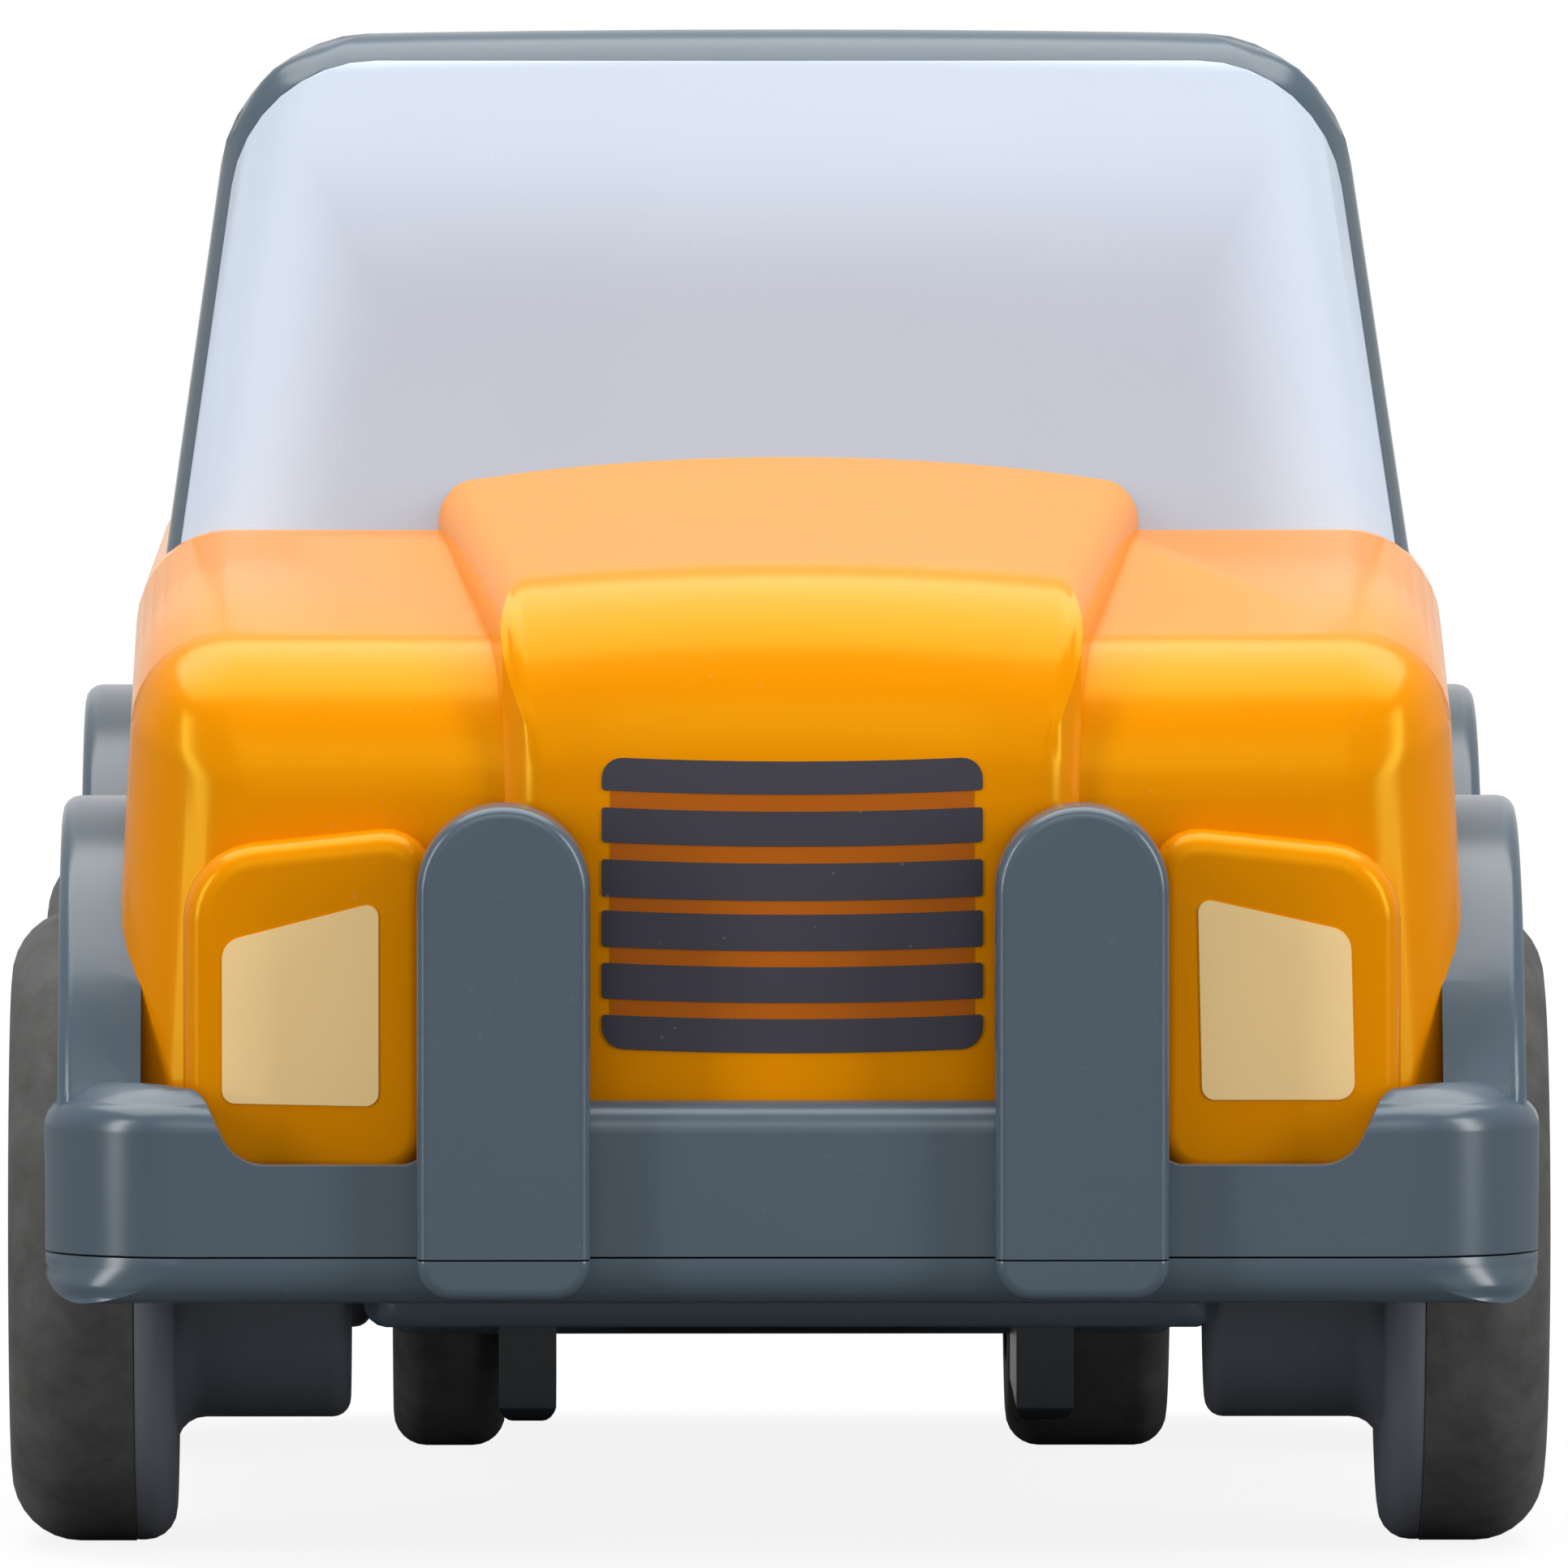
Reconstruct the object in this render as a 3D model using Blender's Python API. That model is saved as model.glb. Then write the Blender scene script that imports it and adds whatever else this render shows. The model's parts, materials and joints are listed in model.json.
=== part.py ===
# Toy off-road car with a momentum motor, built piece by piece.
# Metres, +Z up, the front of the car faces -Y, the origin is on the ground under the car's middle.

import math

import bmesh
import bpy
from mathutils import Vector

MM = 0.001

# Overall size and clearances
LENGTH = 86.0 * MM
BODY_HALF_WIDTH = 24.0 * MM
FRONT_END_Y = -LENGTH / 2
REAR_END_Y = LENGTH / 2
PIECE_GAP = 0.3 * MM
SEAM = 0.15 * MM
RUNNING_FIT = 0.05 * MM
WALL = 1.5 * MM

# Axles and road wheels
WHEEL_RADIUS = 11.1 * MM
REAR_WHEEL_RADIUS = WHEEL_RADIUS - 0.2 * MM
AXLE_RADIUS = 1.0 * MM
FRONT_AXLE_Y = FRONT_END_Y + 19.0 * MM
REAR_AXLE_Y = REAR_END_Y - 18.0 * MM
FRONT_AXLE_SIDE_PLAY = 0.4 * MM
WHEEL_OUTER_X = BODY_HALF_WIDTH + 3.0 * MM
WHEEL_INNER_X = WHEEL_OUTER_X - 5.9 * MM
REAR_WHEEL_INNER_X = WHEEL_OUTER_X - 4.9 * MM
RIM_FLANGE_WIDTH = 1.4 * MM
HUB_END_X = WHEEL_OUTER_X - 12.0 * MM
HUB_RADIUS = 6.75 * MM
HUB_EDGE = 0.7 * MM
HUB_FILLET = 1.0 * MM
RIM_RADIUS = WHEEL_RADIUS - 2.5 * MM
HUB_CAP_RADIUS = 3.0 * MM
LUG_COUNT = 5
LUG_CIRCLE = 5.4 * MM
LUG_RADIUS = 0.8 * MM
LUG_DEPTH = 3.2 * MM
TYRE_INNER_EDGE = 0.5 * MM
TYRE_OUTER_EDGE = 2.4 * MM

# Drive wheels of the motor
DRIVE_WHEEL_OUTER_X = HUB_END_X - 0.8 * MM
DRIVE_WHEEL_LEFT_WIDTH = 4.1 * MM
DRIVE_WHEEL_RIGHT_WIDTH = 5.9 * MM
DRIVE_WHEEL_SIDE_GAP = 0.5 * MM
DRIVE_CORE_RADIUS = WHEEL_RADIUS - 3.1 * MM
DRIVE_TYRE_EDGE = 1.2 * MM

# Body shell
BODY_FRONT_Y = FRONT_END_Y + 5.0 * MM
BODY_REAR_Y = REAR_END_Y - 3.0 * MM
BODY_BOTTOM_Z = WHEEL_RADIUS + 0.2 * MM
BELT_Z = 35.4 * MM
FENDER_FRONT_Z = 31.9 * MM
SIDE_SLOPE = 0.05
SHOULDER_FRONT = 2.6 * MM
SHOULDER_REAR = 1.3 * MM
SHOULDER_BLEND = 4.0 * MM
FENDER_ROUND_LENGTH = 4.5 * MM
FENDER_ROUND_SIDE = 4.6 * MM
FENDER_ROUND_TOP = 3.4 * MM
TAIL_ROUND = 4.6 * MM

# Bonnet, raised between the fenders
BONNET_FRONT_Y = FRONT_END_Y + 3.0 * MM
BONNET_FRONT_HALF = 9.9 * MM
BONNET_REAR_HALF = 12.6 * MM
BONNET_FRONT_Z = 34.0 * MM
BONNET_REAR_Z = 37.6 * MM
BONNET_EDGE = 1.3 * MM
BONNET_FRONT_ROUND = 3.0 * MM
BONNET_BOW = 1.2 * MM
NOSE_LEAN = 0.9 * MM
NOSE_LEAN_Z = 26.0 * MM
BONNET_CROWN = 0.2 * MM

# Headlamp bosses
LAMP_FACE_Y = FRONT_END_Y + 3.5 * MM
LAMP_OUTER_X = BODY_HALF_WIDTH - 2.9 * MM
LAMP_INNER_X = LAMP_OUTER_X - 8.7 * MM
LAMP_BOTTOM_Z = 13.4 * MM
LAMP_TOP_INNER_Z = 25.9 * MM
LAMP_TOP_OUTER_Z = 25.0 * MM
LAMP_CORNER = 2.0 * MM
LAMP_EDGE = 0.5 * MM

# Cabin and windows
SCREEN_BASE_Y = FRONT_END_Y + 23.0 * MM
SCREEN_RAKE = 0.577
CABIN_REAR_Y = REAR_END_Y - 5.5 * MM
CABIN_REAR_RAKE = 0.14
CABIN_HALF_WIDTH = BODY_HALF_WIDTH - 2.1 * MM
CABIN_SLOPE = 0.14
CABIN_CORNER = 3.2 * MM
CABIN_WALL = 1.4 * MM
SCREEN_BOW = 0.9 * MM
ROOF_ROUND_Z = 48.3 * MM
ROOF_EDGE_Z = 52.8 * MM
ROOF_CROWN_Z = 53.25 * MM
ROOF_FALL = 1.2 * MM
WINDOW_GAP = 0.2 * MM
SCREEN_FRAME = 0.5 * MM
SCREEN_DEPTH = 3.4 * MM
SCREEN_TOP_Z = 51.7 * MM
SCREEN_TOP_CORNER = 4.0 * MM
SIDE_WINDOW_BOTTOM_Z = 37.4 * MM
SIDE_WINDOW_TOP_Z = 47.6 * MM
SIDE_WINDOW_CORNER = 1.6 * MM
WINDOW_MARGIN = 2.0 * MM
DOOR_POST_Y = REAR_AXLE_Y - 18.0 * MM
DOOR_POST_WIDTH = 3.0 * MM

# Bumper frame with bull bars and wheel arch flares
BUMPER_FRONT_Y = FRONT_END_Y + 1.6 * MM
BUMPER_REAR_Y = REAR_END_Y
BUMPER_HALF_WIDTH = BODY_HALF_WIDTH + 2.0 * MM
BUMPER_CORNER = 5.0 * MM
BUMPER_TOP_Z = WHEEL_RADIUS + 5.9 * MM
BUMPER_MIDDLE_Z = BUMPER_TOP_Z - 0.6 * MM
BUMPER_BOTTOM_Z = WHEEL_RADIUS - 1.75 * MM
BUMPER_EDGE = 0.6 * MM
LIP_TOP_Z = WHEEL_RADIUS - 0.2 * MM
LIP_ROUND = 1.3 * MM
LAMP_NOTCH_Z = BUMPER_TOP_Z - 2.8 * MM
LAMP_NOTCH_INNER_X = LAMP_INNER_X + 0.5 * MM
LAMP_NOTCH_OUTER_X = LAMP_OUTER_X - 0.8 * MM
NOTCH_ROUND = 1.0 * MM
BAR_X = 10.0 * MM
BAR_WIDTH = 6.0 * MM
BAR_FRONT_Y = FRONT_END_Y
BAR_TOP_Z = 26.7 * MM
BAR_BOTTOM_Z = WHEEL_RADIUS - 1.5 * MM
BAR_EDGE = 0.4 * MM
FLARE_OUTER_X = BODY_HALF_WIDTH + 1.5 * MM
FRONT_ARCH_RADIUS = WHEEL_RADIUS + 2.1 * MM
REAR_ARCH_RADIUS = WHEEL_RADIUS + 2.3 * MM
REAR_ARCH_RISE = 1.6 * MM
FLARE_END_Z = WHEEL_RADIUS + 4.4 * MM
FLARE_THICKNESS = 1.9 * MM
FLARE_STEPS = 16
ARCH_INSET = 1.5 * MM
LINER_X = BODY_HALF_WIDTH - 3.6 * MM
LINER_WALL = 1.0 * MM

# Base pan, belly and guide fins
BELLY_Z = WHEEL_RADIUS - 2.9 * MM
BELLY_HALF_WIDTH = HUB_END_X - 0.1 * MM
BELLY_FRONT_Y = FRONT_END_Y + 7.0 * MM
BELLY_CHAMFER = 0.9 * MM
BELLY_CORNER = 2.0 * MM
HUB_CLEARANCE = 0.8 * MM
SADDLE_WIDTH = 3.0 * MM
SADDLE_X = HUB_END_X - 2.6 * MM
SADDLE_LENGTH = 6.0 * MM
RETAINER_THICKNESS = 1.4 * MM
FIN_INNER_X = 8.2 * MM
FIN_WIDTH = 2.05 * MM
FIN_BOTTOM_Z = WHEEL_RADIUS - 7.9 * MM
FIN_FRONT_Y = FRONT_AXLE_Y + 14.0 * MM
FIN_REAR_Y = REAR_AXLE_Y - 19.0 * MM
FIN_CORNER = 0.6 * MM

# Motor sump under the rear of the base pan
SUMP_FRONT_Y = REAR_AXLE_Y - 17.0 * MM
SUMP_REAR_Y = REAR_AXLE_Y + 13.4 * MM
SUMP_HALF_WIDTH = DRIVE_WHEEL_OUTER_X + 0.4 * MM
SUMP_BOTTOM_Z = WHEEL_RADIUS - 6.0 * MM
SUMP_WALL = 0.8 * MM
SUMP_EDGE = 1.2 * MM
SUMP_CORNER = 2.0 * MM
DRIVE_SLOT_GAP = 0.6 * MM

# Gearbox and momentum motor
MODULE = 0.5 * MM
PRESSURE_ANGLE = math.radians(20.0)
BACKLASH = 0.07 * MM
GEAR_ADDENDUM = 0.65
PINION_ADDENDUM = 1.0
DEDENDUM = 1.25
AXLE_GEAR_TEETH = 18
FIRST_GEAR_TEETH = 22
SECOND_GEAR_TEETH = 24
PINION_TEETH = 10
FIRST_ANGLE = math.radians(135.0)
SECOND_ANGLE = math.radians(106.0)
FLYWHEEL_ANGLE = math.radians(207.0)
GEAR_WIDTH = 1.4 * MM
GEAR_SIDE_GAP = 0.4 * MM
GEAR_PIN_RADIUS = 0.75 * MM
BOX_LEFT_X = DRIVE_WHEEL_LEFT_WIDTH + DRIVE_WHEEL_SIDE_GAP - DRIVE_WHEEL_OUTER_X
BOX_RIGHT_X = DRIVE_WHEEL_OUTER_X - DRIVE_WHEEL_RIGHT_WIDTH - DRIVE_WHEEL_SIDE_GAP
BOX_WALL = 1.1 * MM
BOX_SPLIT_X = 0.2 * MM
BOX_MARGIN = 0.6 * MM
BOX_CORNER_STEPS = 12
AXLE_BUSH_RADIUS = 2.0 * MM
FLYWHEEL_RADIUS = 7.3 * MM
FLYWHEEL_RIM_SHARE = 0.72
FLYWHEEL_WIDTH = (BOX_RIGHT_X - BOX_LEFT_X) / 3 - 0.2 * MM
FLYWHEEL_HUB_RADIUS = 2.4 * MM
FLYWHEEL_WEB = 2.2 * MM

# Screws
SCREW_RADIUS = 1.0 * MM
SCREW_HEAD_RADIUS = 1.9 * MM
SCREW_HEAD_HEIGHT = 1.1 * MM
SCREW_LENGTH = 6.5 * MM
SCREW_BOSS_RADIUS = 2.2 * MM
SCREW_SEAT_Z = WHEEL_RADIUS - 1.5 * MM
SIDE_SCREW_Y = FRONT_AXLE_Y + 18.5 * MM
NOSE_SCREW_Y = FRONT_END_Y + 11.5 * MM
BOSS_TOP_Z = SCREW_SEAT_Z + 9.4 * MM

# Facets
WHEEL_FACETS = 24
MOTOR_FACETS = 24
SMALL_FACETS = 12
LUG_FACETS = 8
ARC_STEPS = 3
INNER_STEPS = 2

FRONT_AXLE = Vector((0.0, FRONT_AXLE_Y, WHEEL_RADIUS))
REAR_AXLE = Vector((0.0, REAR_AXLE_Y, WHEEL_RADIUS))
REAR_ARCH = REAR_AXLE + Vector((0.0, 0.0, REAR_ARCH_RISE))


def clear_scene():
    for item in list(bpy.data.objects):
        bpy.data.objects.remove(item, do_unlink=True)


def make_material(name, colour, roughness, metallic=0.0):
    material = bpy.data.materials.new(name)
    material.use_nodes = True
    shader = material.node_tree.nodes["Principled BSDF"]
    shader.inputs["Base Color"].default_value = (*colour, 1.0)
    shader.inputs["Roughness"].default_value = roughness
    shader.inputs["Metallic"].default_value = metallic
    material.diffuse_color = (*colour, 1.0)
    return material


def place(name, mesh, material=None, location=(0.0, 0.0, 0.0), smooth_angle=None):
    item = bpy.data.objects.new(name, mesh)
    item.location = location
    bpy.context.scene.collection.objects.link(item)
    if material:
        mesh.materials.append(material)
    if smooth_angle:
        mesh.shade_smooth()
        mesh.set_sharp_from_angle(angle=math.radians(smooth_angle))
    return item


def mesh_from(name, points, faces):
    mesh = bpy.data.meshes.new(name)
    mesh.from_pydata([tuple(point) for point in points], [], faces)
    shape = bmesh.new()
    shape.from_mesh(mesh)
    bmesh.ops.remove_doubles(shape, verts=shape.verts, dist=0.000001)
    bmesh.ops.triangulate(shape, faces=shape.faces)
    bmesh.ops.recalc_face_normals(shape, faces=shape.faces)
    if shape.calc_volume(signed=True) < 0.0:
        bmesh.ops.reverse_faces(shape, faces=shape.faces)
    shape.to_mesh(mesh)
    shape.free()
    return mesh


def loft(name, rings):
    """Skin a closed body through rings of equal length and cap both ends."""
    count = len(rings[0])
    points = [point for ring in rings for point in ring]
    faces = [list(range(count))]
    for row in range(len(rings) - 1):
        low = row * count
        high = low + count
        for i in range(count):
            j = (i + 1) % count
            faces.append([low + i, low + j, high + j, high + i])
    faces.append([len(points) - count + i for i in range(count)])
    return mesh_from(name, points, faces)


def prism(name, outline, axis, low, high):
    """Extrude a flat outline along X, Y or Z."""
    order = {"X": (2, 0, 1), "Y": (0, 2, 1), "Z": (0, 1, 2)}[axis]

    def at(point, depth):
        values = (point[0], point[1], depth)
        return tuple(values[order[i]] for i in range(3))

    rings = [[at(point, depth) for point in outline] for depth in (low, high)]
    return loft(name, rings)


def box(name, low, high):
    outline = [(low[0], low[1]), (high[0], low[1]), (high[0], high[1]), (low[0], high[1])]
    return prism(name, outline, "Z", low[2], high[2])


def turn_about_x(name, profile, facets):
    """Revolve a closed (x, radius) profile about the X axis."""
    rings = []
    for step in range(facets):
        angle = 2.0 * math.pi * step / facets
        rings.append([(x, r * math.cos(angle), r * math.sin(angle)) for x, r in profile])
    count = len(profile)
    points = [point for ring in rings for point in ring]
    faces = []
    for step in range(facets):
        here = step * count
        there = (step + 1) % facets * count
        for i in range(count):
            j = (i + 1) % count
            faces.append([here + i, here + j, there + j, there + i])
    return mesh_from(name, points, faces)


def circle(radius, facets, turn=0.0):
    angles = [2 * math.pi * (i + turn) / facets for i in range(facets)]
    return [(radius * math.cos(angle), radius * math.sin(angle)) for angle in angles]


def rod_x(name, radius, low, high, facets=SMALL_FACETS):
    return prism(name, circle(radius, facets), "X", low, high)


def rod_z(name, radius, low, high, facets=SMALL_FACETS):
    return prism(name, circle(radius, facets, 0.5), "Z", low, high)


def arc(centre, radius, start, end, steps=ARC_STEPS):
    """Points on an arc, angles in degrees."""
    points = []
    for i in range(steps + 1):
        angle = math.radians(start + (end - start) * i / steps)
        points.append((centre[0] + radius * math.cos(angle), centre[1] + radius * math.sin(angle)))
    return points


def rounded_rectangle(low, high, radius, steps=ARC_STEPS):
    return (arc((high[0] - radius, low[1] + radius), radius, -90, 0, steps)
            + arc((high[0] - radius, high[1] - radius), radius, 0, 90, steps)
            + arc((low[0] + radius, high[1] - radius), radius, 90, 180, steps)
            + arc((low[0] + radius, low[1] + radius), radius, 180, 270, steps))


def rounded_corners(corners, radius, steps=3):
    """Round each corner of a convex outline with a quadratic curve."""
    outline = []
    for i, corner in enumerate(corners):
        corner = Vector(corner)
        before = (Vector(corners[i - 1]) - corner).normalized() * radius
        after = (Vector(corners[(i + 1) % len(corners)]) - corner).normalized() * radius
        for step in range(steps + 1):
            t = step / steps
            outline.append(tuple(corner + before * (1 - t) ** 2 + after * t ** 2))
    return outline


def helper(name, mesh, location=(0.0, 0.0, 0.0)):
    """A body that only cuts or adds to another one."""
    item = place(name, mesh, location=location)
    item.hide_render = True
    item.display_type = "WIRE"
    return item


def combine(item, operation, tool):
    modifier = item.modifiers.new(operation.title() + " " + tool.name, "BOOLEAN")
    modifier.operation = operation
    modifier.object = tool
    return modifier


def cut(item, *tools):
    for tool in tools:
        combine(item, "DIFFERENCE", tool)


def add(item, *tools):
    for tool in tools:
        combine(item, "UNION", tool)


def side_half_width(z, offset=0.0):
    return BODY_HALF_WIDTH - (z - BODY_BOTTOM_Z) * SIDE_SLOPE - offset


def fender_top(y):
    share = (y - BODY_FRONT_Y) / (SCREEN_BASE_Y - BODY_FRONT_Y)
    return FENDER_FRONT_Z + (BELT_Z - FENDER_FRONT_Z) * min(max(share, 0.0), 1.0)


def body_ring(y, side_inset, top_inset, bottom, steps):
    """One upright section across the lower body, from sill to sill."""
    top = fender_top(y) - top_inset
    share = min(max((y - SCREEN_BASE_Y) / SHOULDER_BLEND, 0.0), 1.0)
    shoulder = SHOULDER_FRONT + (SHOULDER_REAR - SHOULDER_FRONT) * share
    corner_half = side_half_width(top - shoulder, side_inset)
    right = [(side_half_width(bottom, side_inset), bottom)]
    right += arc((corner_half - shoulder, top - shoulder), shoulder, 0, 90, steps)
    left = [(-x, z) for x, z in reversed(right)]
    return [(x, y, z) for x, z in right + left]


def body_loft(name, wall, steps=ARC_STEPS):
    """The lower body, rounded at nose and tail; a wall above zero gives the hollow inside."""
    bottom = BODY_BOTTOM_Z - (WALL if wall else 0.0)
    front = BODY_FRONT_Y + wall
    rear = BODY_REAR_Y - wall
    blend = SCREEN_BASE_Y + SHOULDER_BLEND
    stations = []
    for step in range(steps + 1):
        angle = math.radians(90.0 * step / steps)
        fade = 1.0 - math.sin(angle)
        y = front + FENDER_ROUND_LENGTH * (1.0 - math.cos(angle))
        stations.append((y, FENDER_ROUND_SIDE * fade, FENDER_ROUND_TOP * fade))
    stations += [(SCREEN_BASE_Y, 0.0, 0.0), (blend, 0.0, 0.0)]
    for step in range(steps + 1):
        angle = math.radians(90.0 * step / steps)
        inset = TAIL_ROUND * (1.0 - math.cos(angle))
        stations.append((rear - TAIL_ROUND * (1.0 - math.sin(angle)), inset, inset))
    return loft(name, [body_ring(y, wall + side, wall + top, bottom, steps) for y, side, top in stations])


def screen_y(z):
    return SCREEN_BASE_Y + (z - BELT_Z) * SCREEN_RAKE


def bonnet_loft(name, wall):
    """The raised bonnet and the nose below it, with a bowed front and a soft front edge."""
    bottom = BODY_BOTTOM_Z + (-WALL if wall else WALL / 2)
    length = SCREEN_BASE_Y - BONNET_FRONT_Y
    stations = []
    for step in range(ARC_STEPS + 1):
        angle = math.radians(90.0 * step / ARC_STEPS)
        along = 1.0 - math.cos(angle)
        fade = 1.0 - math.sin(angle)
        stations.append((BONNET_FRONT_ROUND * along, BONNET_EDGE * fade, BONNET_FRONT_ROUND * fade))
    stations.append((length, 0.0, 0.0))
    rings = []
    for along, side_fade, top_fade in stations:
        share = along / length
        half = BONNET_FRONT_HALF + (BONNET_REAR_HALF - BONNET_FRONT_HALF) * share - side_fade - wall
        top = BONNET_FRONT_Z + (BONNET_REAR_Z - BONNET_FRONT_Z) * share - top_fade - wall
        right = [(half, bottom), (half, NOSE_LEAN_Z), (half, top - BONNET_EDGE)]
        right += arc((half - BONNET_EDGE, top - BONNET_EDGE), BONNET_EDGE, 30, 90, 3)
        right += [(half * 0.5, top + BONNET_CROWN), (half * 0.5, bottom)]
        left = [(-x, z) for x, z in reversed(right)]
        outline = right[:-1] + left[1:] + [(left[0][0], bottom), (right[-1][0], bottom)]
        ring = []
        for x, z in outline:
            lean = NOSE_LEAN * (max(z - NOSE_LEAN_Z, 0.0) / (BONNET_FRONT_Z - NOSE_LEAN_Z)) ** 2
            front = BONNET_FRONT_Y + BONNET_BOW * (x / BONNET_FRONT_HALF) ** 2 + lean + wall
            rear = screen_y(z) - SCREEN_BOW - PIECE_GAP - wall
            ring.append((x, front + (rear - front) * share, z))
        rings.append(ring)
    return loft(name, rings)


def lamp_boss(name, side):
    """One headlamp boss, a pad with rounded corners and a rounded front edge."""
    corners = [(side * LAMP_INNER_X, LAMP_BOTTOM_Z), (side * LAMP_OUTER_X, LAMP_BOTTOM_Z),
               (side * LAMP_OUTER_X, LAMP_TOP_OUTER_Z), (side * LAMP_INNER_X, LAMP_TOP_INNER_Z)]
    centre = Vector((side * (LAMP_INNER_X + LAMP_OUTER_X) / 2, (LAMP_BOTTOM_Z + LAMP_TOP_INNER_Z) / 2))
    back = BODY_FRONT_Y + WALL
    edge = LAMP_EDGE
    rings = []
    for y, inset in ((back, 0.0), (LAMP_FACE_Y + edge, 0.0), (LAMP_FACE_Y + 0.3 * edge, 0.3 * edge),
                     (LAMP_FACE_Y, edge)):
        outline = rounded_corners(corners, LAMP_CORNER)
        ring = []
        for x, z in outline:
            point = Vector((x, z))
            point -= (point - centre).normalized() * inset
            ring.append((point.x, y, point.y))
        rings.append(ring)
    return loft(name, rings)


def wheel_well(name, axle, radius, inner, side):
    ends = sorted((side * inner, side * (BUMPER_HALF_WIDTH + 5.0 * MM)))
    mesh = rod_x(name, radius, ends[0], ends[1], WHEEL_FACETS)
    return helper(name, mesh, axle)


def build_body(orange):
    body = place("body_shell", body_loft("body_shell", 0.0), orange, smooth_angle=35)
    bonnet = helper("bonnet_form", bonnet_loft("bonnet_form", 0.0))
    hollow = helper("body_hollow", body_loft("body_hollow", WALL, INNER_STEPS))
    bonnet_hollow = helper("bonnet_hollow", bonnet_loft("bonnet_hollow", WALL))
    add(body, bonnet)
    for side, word in ((-1, "left"), (1, "right")):
        add(body, helper("lamp_form_" + word, lamp_boss("lamp_form_" + word, side)))
    arches = (("front", FRONT_AXLE, FRONT_ARCH_RADIUS - ARCH_INSET),
              ("rear", REAR_ARCH, REAR_ARCH_RADIUS - ARCH_INSET))
    for side, word in ((-1, "left"), (1, "right")):
        for end, arch, radius in arches:
            cut(hollow, wheel_well(end + "_liner_" + word, arch, radius + LINER_WALL, LINER_X - LINER_WALL, side))
    cut(body, hollow, bonnet_hollow)
    inset = CABIN_WALL + 1.0 * MM
    opening = rounded_rectangle((-CABIN_HALF_WIDTH + inset, SCREEN_BASE_Y + inset + SCREEN_BOW),
                                (CABIN_HALF_WIDTH - inset, CABIN_REAR_Y - inset), CABIN_CORNER - 1.0 * MM)
    cut(body, helper("cabin_opening", prism("cabin_opening", opening, "Z", BELT_Z - 6 * MM, BELT_Z + 6 * MM)))
    for side, word in ((-1, "left"), (1, "right")):
        for end, arch, radius in arches:
            cut(body, wheel_well(end + "_well_" + word, arch, radius, LINER_X, side))
        for end, axle in (("front", FRONT_AXLE), ("rear", REAR_AXLE)):
            cut(body, wheel_well(end + "_hub_gap_" + word, axle, HUB_RADIUS + HUB_CLEARANCE, HUB_END_X - MM, side))
    return body


def cabin_ring(z, inset, offset, steps):
    """One level section round the cabin, inset grows over the rounded roof edge."""
    half = CABIN_HALF_WIDTH - (z - BELT_Z) * CABIN_SLOPE - inset - offset
    front = screen_y(z) + inset + offset
    rear = CABIN_REAR_Y - (z - BELT_Z) * CABIN_REAR_RAKE - inset - offset
    radius = max(CABIN_CORNER - offset, 0.4 * MM)
    ring = []
    outline = rounded_rectangle((-half, front), (half, rear), radius, steps)
    front_edge = [(x, front) for x in (-half * 0.45, 0.0, half * 0.45)]
    for x, y in outline + front_edge:
        share = min(abs(x) / half, 1.0)
        bow = SCREEN_BOW * (1.0 - share ** 2) if y < (front + rear) / 2 else 0.0
        ring.append((x, y - bow, z))
    return ring


def cabin_loft(name, offset, bottom, steps=ARC_STEPS):
    levels = [(bottom, 0.0), (ROOF_ROUND_Z, 0.0)]
    rise = ROOF_EDGE_Z - ROOF_ROUND_Z
    for step in range(1, steps + 1):
        angle = math.radians(90.0 * step / steps)
        levels.append((ROOF_ROUND_Z + rise * math.sin(angle), rise * (1.0 - math.cos(angle))))
    levels.append((ROOF_EDGE_Z + (ROOF_CROWN_Z - ROOF_EDGE_Z) * 0.7, rise * 2.0))
    levels.append((ROOF_CROWN_Z, rise * 3.6))
    rings = []
    front = screen_y(ROOF_EDGE_Z)
    for z, inset in levels:
        ring = cabin_ring(z, inset, offset, steps)
        drop = offset if z > ROOF_ROUND_Z else 0.0
        fall = ROOF_FALL * min(max((z - ROOF_ROUND_Z) / rise, 0.0), 1.0) / (CABIN_REAR_Y - front)
        rings.append([(x, y, height - drop - fall * (y - front)) for x, y, height in ring])
    return loft(name, rings)


def screen_outline(shrink, below):
    """The windscreen seen from the front, from its base up into the roof edge."""
    def half(z):
        return CABIN_HALF_WIDTH - (z - BELT_Z) * CABIN_SLOPE - SCREEN_FRAME - shrink

    bottom = BELT_Z + SEAM - below
    corner = SCREEN_TOP_CORNER
    top = SCREEN_TOP_Z - shrink
    right = [(half(bottom), bottom), (half(top - corner), top - corner)]
    right += arc((half(top - corner) - corner, top - corner), corner, 22.5, 90, 3)
    right += [(half(top) * 0.4, top + 0.15 * MM)]
    left = [(-x, z) for x, z in reversed(right)]
    return right + left


def screen_block(name, shrink, below):
    depth = SCREEN_DEPTH - shrink
    outline = screen_outline(shrink, below)
    far = [(x, SCREEN_BASE_Y - 15 * MM, z) for x, z in outline]
    near = [(x, screen_y(z) + depth, z) for x, z in outline]
    return loft(name, [far, near])


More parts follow.
